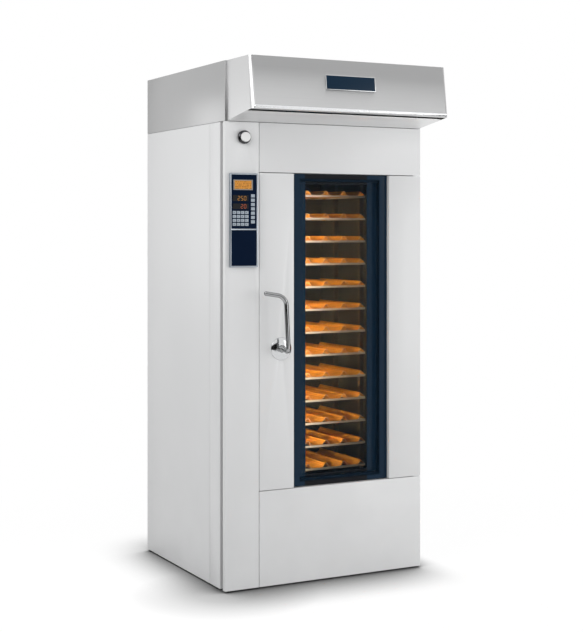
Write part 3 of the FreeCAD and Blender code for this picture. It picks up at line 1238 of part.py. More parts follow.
def handle_lever():
    """Bent lever with its neck and spindle, and the crank on the inner end."""
    out = vec(0, -1, 0)
    face = FRONT - ROSETTE_DEPTH - LEVER_GAP
    neck_end = FRONT - LEVER_STANDOFF
    foot = vec(HANDLE_X, face - NECK_LENGTH / 3, HANDLE_HEIGHT)
    knee = vec(HANDLE_X, face - NECK_LENGTH - LEVER_KNEE / 3, HANDLE_HEIGHT)
    elbow = vec(HANDLE_X, neck_end, HANDLE_HEIGHT - LEVER_DROP)
    bend = vec(HANDLE_X - LEVER_LEAN, neck_end, HANDLE_HEIGHT + LEVER_RISE)
    end = bend + vec(-LEVER_HOOK, LEVER_HOOK_BACK, LEVER_HOOK_RISE)
    grip = bent_bar([foot, knee, elbow, bend, end], [LEVER_KNEE, LEVER_ELBOW, LEVER_BEND], LEVER_RADIUS)
    tip = Part.makeSphere(LEVER_RADIUS, end)
    spindle_end = CORE_FRONT + 4
    flare = LEVER_RADIUS + NECK_FLARE
    outline = [(0, 0), (flare, 0), (flare - 1, NECK_LENGTH * 0.4),
               (LEVER_RADIUS + 0.5, NECK_LENGTH), (0, NECK_LENGTH)]
    neck = turned(outline, vec(HANDLE_X, face, HANDLE_HEIGHT), out)
    spindle = rod(SPINDLE_RADIUS, spindle_end - face, vec(HANDLE_X, spindle_end, HANDLE_HEIGHT), out)
    lever = grip.fuse(tip).fuse(neck).fuse(spindle)
    crank = rod(CRANK_RADIUS, CRANK_THICKNESS, vec(HANDLE_X, spindle_end, HANDLE_HEIGHT), vec(0, 1, 0))
    half = LATCH_TRAVEL / 2
    pin_length = BOLT_FRONT + BOLT_THICKNESS + 2 - spindle_end
    pin_base = vec(HANDLE_X + half, spindle_end, HANDLE_HEIGHT - half)
    pin = rod(CRANK_PIN_RADIUS, pin_length, pin_base, vec(0, 1, 0))
    return [lever, crank.fuse(pin)]


def latch_bolt():
    """Flat bolt with an upright slot for the crank pin."""
    half = LATCH_TRAVEL / 2
    slot_half = CRANK_PIN_RADIUS + SLOT_FIT
    x0 = CORE_LEFT + 1
    x1 = HANDLE_X + half + slot_half + BOLT_MARGIN
    bar = block(x0, x1, BOLT_FRONT, BOLT_FRONT + BOLT_THICKNESS, BOLT_LOW, BOLT_LOW + BOLT_HEIGHT)
    slot_x = HANDLE_X + half
    slot_low = HANDLE_HEIGHT - CRANK_ARM - slot_half
    slot_high = HANDLE_HEIGHT - half + slot_half
    slot = block(slot_x - slot_half, slot_x + slot_half, BOLT_FRONT - 1, BOLT_FRONT + BOLT_THICKNESS + 1,
                 slot_low, slot_high)
    return [bar.cut(slot)]


def keeper_hole():
    """Opening that the bolt enters."""
    x0 = COLUMN_RIGHT - SHEET - LATCH_TRAVEL
    y0, y1 = BOLT_FRONT - KEEPER_FIT, BOLT_FRONT + BOLT_THICKNESS + KEEPER_FIT
    z0, z1 = BOLT_LOW - KEEPER_FIT, BOLT_LOW + BOLT_HEIGHT + KEEPER_FIT
    return block(x0, COLUMN_RIGHT + 1, y0, y1, z0, z1)


def latch_keeper():
    """Thick plate behind the column edge."""
    x1 = COLUMN_RIGHT - SHEET
    y0, y1 = BOLT_FRONT - KEEPER_EDGE, BOLT_FRONT + BOLT_THICKNESS + KEEPER_EDGE
    z0, z1 = BOLT_LOW - 2 * KEEPER_EDGE, BOLT_LOW + BOLT_HEIGHT + 2 * KEEPER_EDGE
    return [block(x1 - KEEPER_PLATE, x1, y0, y1, z0, z1).cut(keeper_hole())]


# Controls


def panel_split():
    """Edges of the bezel windows: left, right, foot, split low, split high, head."""
    left = -HALF + BEZEL_LEFT + BEZEL_FRAME
    right = -HALF + BEZEL_LEFT + BEZEL_WIDTH - BEZEL_FRAME
    foot = BEZEL_BOTTOM + BEZEL_FRAME
    head = BEZEL_BOTTOM + BEZEL_HEIGHT - BEZEL_FRAME
    split = BEZEL_BOTTOM + BEZEL_SPLIT
    return left, right, foot, split, split + BEZEL_FRAME, head


def control_bezel():
    """Metal frame with a cross bar, in front of the column."""
    left, right, foot, low, high, head = panel_split()
    y0 = FRONT - BEZEL_DEPTH
    frame = block(left - BEZEL_FRAME, right + BEZEL_FRAME, y0, FRONT, foot - BEZEL_FRAME, head + BEZEL_FRAME)
    lower = block(left, right, y0 - 1, FRONT + 1, foot, low)
    upper = block(left, right, y0 - 1, FRONT + 1, high, head)
    return [frame.cut([lower, upper])]


def filler(z0, z1):
    left, right = panel_split()[:2]
    fit = PLATE_FIT
    return block(left + fit, right - fit, FRONT - PLATE_DEPTH, FRONT, z0 + fit, z1 - fit)


def control_plate():
    edges = panel_split()
    return [filler(edges[4], edges[5])]


def blank_plate():
    edges = panel_split()
    return [filler(edges[2], edges[3])]


def on_plate(x0, x1, z0, z1, depth):
    """Raised rectangle on the control plate, counted from the left and the head of the bezel."""
    left = -HALF + BEZEL_LEFT
    head = BEZEL_BOTTOM + BEZEL_HEIGHT
    y1 = FRONT - PLATE_DEPTH
    return block(left + x0, left + x1, y1 - depth, y1, head - z1, head - z0)


def displays():
    """One text display and two number displays."""
    edge = number_edge()
    left, right = DISPLAY_INSET + SCREEN_INSET, BEZEL_WIDTH - KEY_STRIP_INSET - SCREEN_END
    screen = on_plate(left, right, SCREEN_TOP, SCREEN_FOOT, DISPLAY_DEPTH)
    first = on_plate(DISPLAY_INSET, edge, FIRST_NUMBER_TOP, FIRST_NUMBER_FOOT, DISPLAY_DEPTH)
    second = on_plate(DISPLAY_INSET, edge, SECOND_NUMBER_TOP, SECOND_NUMBER_FOOT, DISPLAY_DEPTH)
    return [screen, first, second]


def number_edge():
    """Right edge of the number displays and of the block of keys."""
    return BEZEL_WIDTH - KEY_STRIP_INSET - KEY_STRIP_WIDTH - DISPLAY_INSET


def keypad():
    """Membrane keys: a block of four by four and a column at the right."""
    keys = []
    pitch = (number_edge() - DISPLAY_INSET + KEY_GAP) / KEY_COLUMNS
    for row in range(KEY_ROWS):
        for column in range(KEY_COLUMNS):
            x0 = DISPLAY_INSET + column * pitch
            z0 = KEY_TOP + row * KEY_ROW_PITCH
            keys.append(on_plate(x0, x0 + pitch - KEY_GAP, z0, z0 + KEY_HEIGHT, KEY_DEPTH))
    x1 = BEZEL_WIDTH - KEY_STRIP_INSET
    for row in range(KEY_STRIP_COUNT):
        z0 = KEY_STRIP_TOP + row * KEY_STRIP_PITCH
        keys.append(on_plate(x1 - KEY_STRIP_WIDTH, x1, z0, z0 + KEY_HEIGHT + 1, KEY_DEPTH))
    return keys


def control_box():
    """Closed electronics box behind the column."""
    left = -HALF + BEZEL_LEFT + BEZEL_FRAME
    right = -HALF + BEZEL_LEFT + BEZEL_WIDTH - BEZEL_FRAME
    y0 = FRONT + SHEET
    low = BEZEL_BOTTOM + BEZEL_FRAME
    high = BEZEL_BOTTOM + BEZEL_HEIGHT - BEZEL_FRAME
    return [block(left, right, y0, y0 + CONTROL_BOX_DEPTH, low, high)]


def button_bezel():
    """Turned ring round the push button."""
    bore = BUTTON_RADIUS + BUTTON_FIT
    outline = [(bore, 0), (BUTTON_BEZEL_RADIUS, 0), (BUTTON_BEZEL_RADIUS, BUTTON_BEZEL_DEPTH - 4),
               (BUTTON_BEZEL_RADIUS - 4, BUTTON_BEZEL_DEPTH), (bore, BUTTON_BEZEL_DEPTH)]
    return [turned(outline, vec(BUTTON_X, FRONT, BUTTON_HEIGHT), vec(0, -1, 0))]


def button_cap():
    """Round cap on a guided stem."""
    front = BUTTON_BEZEL_DEPTH + BUTTON_PROUD
    back = BUTTON_TRAVEL + 2
    end = -BUTTON_STEM_LENGTH
    outline = [(0, end), (BUTTON_STEM, end), (BUTTON_STEM, back), (BUTTON_RADIUS, back),
               (BUTTON_RADIUS, front - 2), (BUTTON_RADIUS - 2, front), (0, front)]
    return [turned(outline, vec(BUTTON_X, FRONT, BUTTON_HEIGHT), vec(0, -1, 0))]


# Services


def water_supply():
    """Valve with a threaded inlet at the rear, and the pipe to the duct nozzle."""
    inside = REAR - SHEET
    middle = inside - VALVE_DEPTH / 2
    low = WATER_HEIGHT - WATER_RADIUS - VALVE_FOOT
    top = low + VALVE_HEIGHT
    half = VALVE_WIDTH / 2
    body = block(WATER_X - half, WATER_X + half, inside - VALVE_DEPTH, inside, low, top)
    coil = rod(COIL_RADIUS, COIL_HEIGHT, vec(WATER_X - half / 3, middle, low - COIL_HEIGHT), vec(0, 0, 1))
    neck = SHEET
    end = neck + WATER_SHOULDER + WATER_THREAD
    bore = WATER_RADIUS - 3
    waist = WATER_RADIUS - 1
    collar = WATER_RADIUS + WATER_COLLAR
    outline = [(bore, 0), (waist, 0), (waist, neck), (collar, neck), (collar, neck + WATER_SHOULDER),
               (WATER_RADIUS, neck + WATER_SHOULDER), (WATER_RADIUS, end), (bore, end)]
    inlet = turned(outline, vec(WATER_X, inside, WATER_HEIGHT), vec(0, 1, 0))
    turn = (top + SUPPORT_TOP) / 2
    points = [vec(WATER_X, middle, top), vec(WATER_X, middle, turn), vec(WATER_X, EXHAUST_Y, turn),
              vec(WATER_X, EXHAUST_Y, CHAMBER_FLOOR + NOZZLE_RISE)]
    return [body.fuse([coil, inlet]), bent_bar(points, WATER_BEND, WATER_PIPE)]


def drain_pipe():
    """Bent pipe from the chamber floor to the hose spigot at the rear."""
    points = [vec(DRAIN_X, EXHAUST_Y, CHAMBER_FLOOR - SHEET), vec(DRAIN_X, EXHAUST_Y, DRAIN_HEIGHT),
              vec(DRAIN_X, REAR + OUTLET_REACH, DRAIN_HEIGHT)]
    outer = bent_bar(points, DRAIN_BEND, DRAIN_RADIUS)
    inner = bent_bar(points, DRAIN_BEND, DRAIN_RADIUS - DRAIN_WALL)
    start = vec(DRAIN_X, REAR + OUTLET_GAP, DRAIN_HEIGHT)
    spigot = rod(DRAIN_SPIGOT, OUTLET_REACH - OUTLET_GAP, start, vec(0, 1, 0))
    return [outer.fuse(spigot).cut(inner)]


def cable_gland():
    """Gland with a hexagon outside and a nut inside the rear panel."""
    back = vec(0, 1, 0)
    inside = REAR - SHEET
    across = GLAND_BORE + GLAND_HEX
    def hexagon(y, depth):
        middle = vec(GLAND_X, y, GLAND_HEIGHT)
        angles = [math.radians(60 * step) for step in range(6)]
        points = [middle + vec(math.cos(a), 0, math.sin(a)) * across for a in angles]
        return prism(points, vec(0, depth, 0))
    thread = rod(GLAND_BORE + GLAND_THREAD, SHEET, vec(GLAND_X, inside, GLAND_HEIGHT), back)
    foot, end = GLAND_BORE + GLAND_DOME_FOOT, GLAND_BORE + GLAND_DOME_END
    dome = Part.makeCone(foot, end, GLAND_DOME, vec(GLAND_X, REAR + GLAND_HEAD, GLAND_HEIGHT), back)
    body = hexagon(inside - GLAND_NUT, GLAND_NUT).fuse([thread, hexagon(REAR, GLAND_HEAD), dome])
    length = GLAND_NUT + SHEET + GLAND_HEAD + GLAND_DOME + 2
    return [body.cut(rod(GLAND_BORE, length, vec(GLAND_X, inside - GLAND_NUT - 1, GLAND_HEIGHT), back))]


NODES = [levelling_feet, main_frame, side_panels, corner_strips, rear_panel, control_column, header_panel,
         lower_front_panel, front_frame, air_diffuser, air_duct, chamber_walls, chamber_ceiling,
         chamber_floor, insulation, lamp_housing, lamp_lens, heating_element, fan_rotor, motor_plate,
         fan_motor, gear_motor, floor_bearing, turntable, rack_frame, tray_runners, baking_trays,
         top_casing, hood_canopy, hood_underside, flue_collar, exhaust_duct, damper_flap, hood_fan_stator,
         hood_fan_impeller, door_left_skin, door_right_skin, door_core, door_inner_panel, outer_glass,
         inner_glass, glass_spacer, door_seal, hinge_blocks, hinge_brackets, handle_rosette, handle_lever,
         latch_bolt, latch_keeper, control_bezel, control_plate, blank_plate, displays, keypad,
         control_box, button_bezel, button_cap, water_supply, drain_pipe, cable_gland]


def main():
    os.makedirs("parts", exist_ok=True)
    for node in NODES:
        solids = [solid for shape in node() for solid in shape.Solids]
        shape = solids[0] if len(solids) == 1 else Part.makeCompound(solids)
        shape.exportStep("parts/" + node.__name__ + ".step")


main()
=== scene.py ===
import json
import math

import bmesh
import bpy
from mathutils import Matrix, Vector


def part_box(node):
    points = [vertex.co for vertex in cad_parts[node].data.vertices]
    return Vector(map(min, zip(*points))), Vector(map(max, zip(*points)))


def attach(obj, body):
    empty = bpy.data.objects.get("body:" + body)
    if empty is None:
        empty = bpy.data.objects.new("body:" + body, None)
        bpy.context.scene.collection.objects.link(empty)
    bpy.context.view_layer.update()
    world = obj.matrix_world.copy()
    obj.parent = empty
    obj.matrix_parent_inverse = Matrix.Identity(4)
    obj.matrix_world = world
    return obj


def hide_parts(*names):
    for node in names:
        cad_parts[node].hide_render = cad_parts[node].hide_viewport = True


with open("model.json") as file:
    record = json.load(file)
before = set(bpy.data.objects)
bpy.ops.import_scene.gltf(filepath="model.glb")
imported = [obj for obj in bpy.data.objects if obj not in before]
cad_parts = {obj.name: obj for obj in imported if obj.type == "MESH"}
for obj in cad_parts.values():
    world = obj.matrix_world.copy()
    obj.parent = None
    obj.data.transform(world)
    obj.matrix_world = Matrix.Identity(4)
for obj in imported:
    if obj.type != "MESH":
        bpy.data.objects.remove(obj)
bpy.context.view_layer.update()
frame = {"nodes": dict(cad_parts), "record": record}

bl_info = {
    "name": "Rack Oven Looks",
    "version": (1, 0, 0),
    "blender": (4, 5, 0),
    "location": "View3D > Sidebar > Oven",
    "description": "Dresses the packed rack oven and sets it on a pale floor",
    "category": "Object",
}

RECORD = frame["record"]
NODES = frame["nodes"]
BODY_OF = {node: body for body, nodes in RECORD["behaviour"]["bodies"].items() for node in nodes}


# Fixed sizes, in metres and degrees


# Edges that are sharper than this keep their crease
SHARP = 35.0
SHARP_ON_ROUNDS = 50.0
SHARP_ON_TRAYS = 30.0
SHARP_ON_BEAD = 60.0
SHARP_ON_FIXINGS = 40.0

# In copies of CAD pieces, points this close are one, faces this flat are one and steeper edges are folds
MERGE = 0.00001
FLAT = 0.4
FOLD = math.degrees(0.6)

# Black rubber strips in the corner grooves, which also paint the shade deep in the grooves
SHADE_STRIP_SETBACK = 0.0245
SHADE_STRIP_GAP = 0.0005
SHADE_STRIP_WIDTH = 0.006
SHADE_STRIP_FOLD = 0.002

# Sloping front of the hood, and its plate: name, finish, CAD piece, inset and rise
LIP_SETBACK = 0.0032
LIP_RISE = 0.035
TOP_SETBACK = 0.0312
PLATE_RISE = 0.122
PLATE_SHIFT = -0.008
PLATE_FOLD = 0.0006
PLATE_LAYERS = (("plate_edge", "stainless", "flue_collar", 0.0, 0.0018),
                ("plate_face", "navy paint", "glass_spacer", 0.0025, 0.0026))

# Sleeve over the bead along the lip of the hood
BEAD_RADIUS = 0.0083
BEAD_END = 0.018
BEAD_SETBACK = 0.008
BEAD_RISE = 0.043
BEAD_STEPS = 6
BEAD_SIDES = 24

# Rounded edges of the small turned pieces
ROSETTE_FOLD = 0.0012
BUTTON_RING_FOLD = 0.0006
BUTTON_FOLD = 0.0008

# Text display, with its lit part and the cells of its text
SCREEN_FOOT = 0.050
SCREEN_LEFT = 0.003
LIT_TOP, LIT_FOOT = 0.004, 0.039
LIT_LEFT, LIT_RIGHT = 0.005, 0.006
TEXT_ROW, TEXT_COLUMN = 0.0068, 0.0022

# Number displays: width, step and bar are shares of the height of a digit, and the gap of its bar
DIGIT_WIDTH = 0.52
DIGIT_STEP = 0.86
DIGIT_BAR = 0.10
DIGIT_GAP = 0.35
DIGIT_RELIEF = 0.0003
NUMBER_RIGHT = 0.060
UPPER_NUMBER_DROP = 0.0853
LOWER_NUMBER_DROP = 0.1187

# Prints on the keys
KEY_ROWS, KEY_COLUMNS = 4, 4
KEY_LEFT, KEY_TOP = 0.004, 0.070
KEY_STEP_ACROSS, KEY_STEP_DOWN = 0.0184, 0.0164
MARK_TOP, MARK_FOOT = 0.0050, 0.0072
MARK_SHORT, MARK_LONG = 0.0032, 0.0055
MARK_RELIEF = 0.0002

# Glass, lamp cover and trays: the size of a hole is the square of its radius in pitches
VEIL = 0.06
RIB_PITCH = 0.012
TRAY_RIM = 0.0055
HOLE_PITCH = 0.006
HOLE_SIZE = 0.045

# Fixings of the rear panel and the flue
SCREW_INSET, SCREW_END, SCREW_CORNER = 0.012, 0.03, 0.15
SCREWS_UP, SCREWS_ACROSS = 9, 4
SCREW_HEIGHT = 0.6
RIVETS = 10
RIVET_INSET, RIVET_RISE = 0.010, 0.003
LOUVRES = 9
LOUVRE_MIDDLE, LOUVRE_TOP, LOUVRE_PITCH = 0.2, 1.846, 0.026
LOUVRE_LENGTH, LOUVRE_HEIGHT = 0.244, 0.013

# Floor with a painted shadow of the oven
FLOOR_REACH = 14.0
SHADOW_NEAR, SHADOW_FAR = 1.0, 2.2
SHADOW_DISTANCE, TOUCH_DISTANCE = 0.40, 0.04
SHADOW_SIDES = ((-0.475, -0.74), (0.475, 0.60))
SHADOW_CORNER = (-0.475, -0.338)

# Place, aim and size of each light
LIGHTS = {
    "front": ((4.2, -3.6, 1.4), (0.1, -0.3, 1.1), (3.5, 2.8)),
    "side": ((-3.1, -1.5, 2.9), (-0.475, 0.1, 1.7), (2.4, 2.4)),
    "back": ((-1.9, 1.5, 1.7), (-0.475, -0.1, 2.05), (0.9, 0.9)),
}
LAMP_GAP = 0.004
LAMP_AIM = (0.5, 1.0, 0.0)
LAMP_SIZE = (0.03, 1.15)
LAMP_SPREAD = 120.0

# Lowest and highest corner of each dark board
DARK_BOARDS = (((1.90, -2.4, 0.3), (1.94, 0.4, 1.9)),
               ((-2.64, -2.4, 0.2), (-2.60, 0.1, 2.4)),
               ((-5.5, -4.9, 0.3), (0.9, -4.86, 2.2)))


# Sizes and colours that a user would change


def tint(name, description, colour):
    return bpy.props.FloatVectorProperty(
        name=name, description=description, subtype="COLOR", size=3, min=0.0, max=1.0, default=colour)


def length(name, description, metres):
    return bpy.props.FloatProperty(
        name=name, description=description, subtype="DISTANCE", unit="LENGTH", default=metres)


def amount(name, description, value):
    return bpy.props.FloatProperty(name=name, description=description, default=value)


def figures(name, description, text):
    return bpy.props.StringProperty(name=name, description=description, default=text)


class OvenFinishes(bpy.types.PropertyGroup):
    """Colours of the visible finishes."""
    paint: tint("Cabinet paint", "Satin paint of the panels and the door", (0.79, 0.795, 0.80))
    steel: tint("Hood steel", "Brushed steel of the hood and the roof casing", (0.63, 0.632, 0.635))
    stainless: tint("Stainless steel", "Door lining and fittings", (0.56, 0.565, 0.57))
    chrome: tint("Chrome", "Lever, rosette and lip of the hood", (0.80, 0.81, 0.82))
    navy: tint("Navy print", "Print of the glass panes and face of the plate", (0.0060, 0.0235, 0.0490))
    film: tint("Control film", "Printed film of the control plates", (0.0010, 0.0072, 0.0250))
    amber: tint("Amber display", "Backlight of the text display", (0.72, 0.30, 0.045))
    coat: tint("Tray coat", "Baked coat in the flutes of the trays", (0.80, 0.42, 0.085))
    lamp: tint("Lamp light", "Light inside the chamber", (1.0, 0.66, 0.27))


class OvenDetails(bpy.types.PropertyGroup):
    """Sizes and figures of the added details."""
    fold: length("Fold radius", "Outer radius of the folded sheet edges", 0.0008)
    outer_border: length("Outer print", "Width of the print at the sides of the outer pane", 0.038)
    inner_clear: length("Clear width", "Width of the clear part of the inner pane", 0.306)
    # In the end bands, the near black part across the clear width is painted shade
    outer_end: length("Outer end print", "Height of the print at the ends of the outer pane", 0.019)
    inner_end: length("Inner end print", "Height of the print at the ends of the inner pane", 0.026)
    painted_shade_shift: length("Print offset", "How far left the dark end print of the outer pane sits", 0.019)
    screw: length("Screw head", "Radius of the panel screws", 0.0042)
    groove: length("Groove depth", "Depth of the grooves down to their rubber strips", 0.013)
    louvre: length("Louvre reach", "How far the rear louvres stand out", 0.007)
    plate_width: length("Plate width", "Width of the bare plate on the hood", 0.235)
    plate_height: length("Plate height", "Height of the bare plate on the hood", 0.062)
    digit: length("Digit height", "Height of the display digits", 0.0165)
    upper: figures("Upper number", "Figures in the upper number display", "250")
    lower: figures("Lower number", "Figures in the lower number display", "20")


class OvenStage(bpy.types.PropertyGroup):
    """Camera and light."""
    camera: bpy.props.FloatVectorProperty(
        name="Camera", description="Place of the camera", subtype="TRANSLATION", unit="LENGTH",
        default=(-2.8274, -5.5443, 1.4936))
    turn: bpy.props.FloatProperty(
        name="Camera turn", description="Heading of the camera", subtype="ANGLE", unit="ROTATION",
        default=math.radians(-28.354))
    lens: amount("Lens", "Focal length in millimetres", 78.76)
    shift_x: amount("Shift across", "Sideways shift of the frame", -0.0493)
    shift_y: amount("Shift up", "Upward shift of the frame", -0.1338)
    sky: amount("Sky", "Strength of the light from all sides", 0.48)
    front: amount("Front light", "Power of the soft light at the front right", 105.0)
    side: amount("Side light", "Power of the soft light at the left", 46.0)
    back: amount("Back light", "Power of the small light behind the left side", 3.0)
    lamp: amount("Chamber lamp", "Power of the lamp in the chamber", 29.0)


# Node trees


class Term:
    """A socket that can stand in a Python sum."""

    def __init__(self, maker, socket):
        self.maker = maker
        self.socket = socket

    def sum(self, operation, first, second=0.0):
        return self.maker.node("ShaderNodeMath", {"operation": operation}, {0: first, 1: second})

    def __add__(self, other):
        return self.sum("ADD", self, other)

    def __sub__(self, other):
        return self.sum("SUBTRACT", self, other)

    def __rsub__(self, other):
        return self.sum("SUBTRACT", other, self)

    def __mul__(self, other):
        return self.sum("MULTIPLY", self, other)

    def __truediv__(self, other):
        return self.sum("DIVIDE", self, other)

    def __mod__(self, other):
        return self.sum("FLOORED_MODULO", self, other)

    def __gt__(self, other):
        return self.sum("GREATER_THAN", self, other)

    def __lt__(self, other):
        return self.sum("LESS_THAN", self, other)

    def __abs__(self):
        return self.sum("ABSOLUTE", self)

    def floor(self):
        return self.sum("FLOOR", self)

    def root(self):
        return self.sum("SQRT", self)

    __radd__ = __add__
    __rmul__ = __mul__


class NodeMaker:
    """Adds nodes to a tree one by one."""

    def __init__(self, tree):
        self.tree = tree
        tree.nodes.clear()

    def node(self, kind, settings=None, inputs=None, output=0):
        """Add a node, set it up, fill its sockets and give back one of its outputs."""
        node = self.tree.nodes.new(kind)
        for key, value in (settings or {}).items():
            setattr(node, key, value)
        for key, value in (inputs or {}).items():
            for part in value if isinstance(value, list) else [value]:
                if isinstance(part, Term):
                    self.tree.links.new(part.socket, node.inputs[key])
                else:
                    node.inputs[key].default_value = part
        return Term(self, node.outputs[output]) if node.outputs else None

    def ramp(self, value, start, end, low=0.0, high=1.0):
        """Goes from low to high while the value goes from start to end."""
        return self.node("ShaderNodeMapRange", inputs={0: value, 1: start, 2: end, 3: low, 4: high})

    def seen(self):
        """1 for rays from the camera, off gloss or through glass."""
        paths = self.node("ShaderNodeLightPath").socket.node.outputs
        camera, gloss, glass = (Term(self, paths["Is %s Ray" % kind])
                                for kind in ("Camera", "Glossy", "Transmission"))
        return camera + gloss + glass


class Finish(NodeMaker):
    """A material in the making."""

    def __init__(self, name):
        self.material = bpy.data.materials.new(name)
        self.material.use_nodes = True
        super().__init__(self.material.node_tree)

    def coordinates(self):
        """Places on the oven, which stay with the piece."""
        return self.node("ShaderNodeTexCoord", output="Object")

    def axes(self):
        """X, Y and Z in metres, in the frame of the oven."""
        split = self.node("ShaderNodeSeparateXYZ", inputs={0: self.coordinates()})
        outputs = split.socket.node.outputs
        return [Term(self, outputs[axis]) for axis in range(3)]

    def noise(self, scale, detail=2.0, stretch=(1.0, 1.0, 1.0)):
        """Noise from 0 to 1, stretched along the axes."""
        place = self.node("ShaderNodeMapping", inputs={0: self.coordinates(), "Scale": stretch})
        settings = {"noise_dimensions": "3D"}
        return self.node("ShaderNodeTexNoise", settings, {"Vector": place, "Scale": scale, "Detail": detail})

    def mix(self, factor, first, second):
        """Colour between two colours."""
        inputs = {0: factor, 6: colour4(first), 7: colour4(second)}
        return self.node("ShaderNodeMix", {"data_type": "RGBA"}, inputs, 2)

    def surface(self, inputs, bump=None, depth=0.0005, strength=0.3):
        """Close the material with its main shader."""
        if bump is not None:
            relief = {"Height": bump, "Distance": depth, "Strength": strength}
            inputs["Normal"] = self.node("ShaderNodeBump", inputs=relief)
        shader = self.node("ShaderNodeBsdfPrincipled", inputs=inputs)
        self.node("ShaderNodeOutputMaterial", inputs={"Surface": shader})
        return self.material


class Scatter(NodeMaker):
    """A geometry tree with named sizes that puts one shape on every point."""

    def __init__(self, name, sizes):
        tree = bpy.data.node_groups.new(name, "GeometryNodeTree")
        tree.interface.new_socket("Geometry", in_out="INPUT", socket_type="NodeSocketGeometry")
        for label, value in sizes.items():
            kind = "NodeSocketFloat" if isinstance(value, float) else "NodeSocketRotation"
            tree.interface.new_socket(label, in_out="INPUT", socket_type=kind).default_value = value
        tree.interface.new_socket("Geometry", in_out="OUTPUT", socket_type="NodeSocketGeometry")
        super().__init__(tree)
        self.start = self.node("NodeGroupInput").socket.node

    def size(self, label):
        """A named input of the tree."""
        return Term(self, self.start.outputs[label])

    def close(self, shape, material, scale=(1.0, 1.0, 1.0)):
        """Copy the shape to every point, make the copies real and give them their finish."""
        points = self.node("GeometryNodeMeshToPoints", inputs={0: self.size("Geometry")})
        copies = self.node("GeometryNodeInstanceOnPoints", inputs={
            "Points": points, "Instance": shape, "Rotation": self.size("Facing"), "Scale": scale})
        real = self.node("GeometryNodeRealizeInstances", inputs={0: copies})
        painted = self.node("GeometryNodeSetMaterial", inputs={"Geometry": real, "Material": material})
        self.node("NodeGroupOutput", inputs={0: painted})
        return self.tree


# Finishes


def colour4(colour):
    """Full colour for a socket, or a linked colour as it is."""
    return colour if isinstance(colour, Term) else (*colour[:3], 1.0)


def shade(colour, share):
    """Lighter or darker colour."""
    return tuple(min(1.0, part * share) for part in colour[:3])


def satin_paint(name, colour, rough=0.42, coat=0.08, gleam=0.5):
    """Sprayed paint with a fine peel, faint clouds and patches that grow darker towards the floor."""
    finish = Finish(name)
    z = finish.axes()[2]
    cloud = finish.noise(2.2, 3.0)
    peel = finish.noise(620.0, 1.0)
    # Darker towards the floor, in patches
    darker_low = finish.ramp(z, 0.9, 0.0, 0.0, 0.55)
    base = finish.mix(cloud, shade(colour, 0.985), shade(colour, 1.015))
    base = finish.mix(darker_low * finish.noise(7.0, 4.0), base, shade(colour, 0.80))
    gloss = rough - 0.05 + finish.noise(5.0, 3.0) * 0.10
    inputs = {"Base Color": base, "Roughness": gloss, "Coat Weight": coat, "Specular IOR Level": gleam}
    return finish.surface(inputs, peel, 0.00012, 0.25)


def brushed_metal(name, colour, rough=0.34, stretch=(1.0, 60.0, 420.0), metallic=1.0, tone=0.10):
    """Metal with a fine grain along one axis and slow clouds in its gloss."""
    finish = Finish(name)
    grain = finish.noise(3.0, 5.0, stretch)
    cloud = finish.noise(3.1, 3.0)
    base = finish.mix(grain, shade(colour, 1.0 - tone), shade(colour, 1.0 + tone))
    base = finish.mix(cloud * 0.5, base, shade(colour, 0.93))
    gloss = rough - 0.07 + grain * 0.10 + cloud * 0.05
    inputs = {"Base Color": base, "Roughness": gloss, "Metallic": metallic}
    return finish.surface(inputs, grain, 0.00006, 0.35)


def polished_metal(name, colour, rough=0.05):
    """Plated metal with faint smears."""
    finish = Finish(name)
    smear = finish.noise(38.0, 4.0)
    base = finish.mix(smear, shade(colour, 0.96), shade(colour, 1.04))
    return finish.surface({"Base Color": base, "Roughness": rough + smear * 0.05, "Metallic": 1.0})


def heat_toned_steel(name, colour):
    """Chamber sheet with straw coloured heat tones and baked on film."""
    finish = Finish(name)
    grain = finish.noise(3.0, 4.0, (40.0, 40.0, 1.0))
    tone = finish.noise(2.6, 5.0)
    straw = (colour[0] * 0.95, colour[1] * 0.72, colour[2] * 0.42)
    base = finish.mix(grain, shade(colour, 0.88), shade(colour, 1.10))
    base = finish.mix(tone * 0.25, base, straw)
    inputs = {"Base Color": base, "Roughness": 0.34 + tone * 0.18, "Metallic": 0.85}
    return finish.surface(inputs, grain, 0.00008, 0.3)


def moulded_plastic(name, colour, rough=0.45, gleam=0.5):
    """Moulded plastic or rubber with a fine spark texture."""
    finish = Finish(name)
    spark = finish.noise(900.0, 2.0)
    wear = finish.noise(11.0, 3.0)
    base = finish.mix(wear, shade(colour, 0.90), shade(colour, 1.12))
    inputs = {"Base Color": base, "Roughness": rough + wear * 0.10, "Specular IOR Level": gleam}
    return finish.surface(inputs, spark, 0.0001, 0.3)


def mineral_wool(name, colour):
    """Soft slab of fibres."""
    finish = Finish(name)
    fibre = finish.noise(60.0, 8.0, (1.0, 4.0, 9.0))
    base = finish.mix(fibre, shade(colour, 0.70), shade(colour, 1.15))
    return finish.surface({"Base Color": base, "Roughness": 0.95}, fibre, 0.003, 0.8)


def printed_glass(name, navy, box, clear, end, painted_shade_middle, painted_shade_width):
    """Pane with printed sides, a clear middle that keeps a thin veil of its own colour, and ends painted
    near black as the shade of the oven's inside seen through the glass.
    """
    finish = Finish(name)
    x, _, z = finish.axes()
    middle = (box[0].x + box[1].x) / 2
    inside = (abs(x - middle) < clear / 2) * (z > box[0].z + end) * (z < box[1].z - end)
    smear = finish.noise(9.0, 4.0)
    base = finish.mix(finish.noise(45.0, 2.0), shade(navy, 0.92), shade(navy, 1.1))
    # Painted shade: a near black band across the ends, where the dark inside of the oven would show through
    base = finish.mix(abs(x - painted_shade_middle) < painted_shade_width / 2, base, (0.007, 0.008, 0.011))
    base = finish.mix(inside, base, (0.02, 0.035, 0.05))
    inputs = {"Base Color": base, "Roughness": 0.035 + smear * 0.04, "Alpha": 1.0 - inside * (1.0 - VEIL),
              "Specular IOR Level": 0.12}
    return finish.surface(inputs)


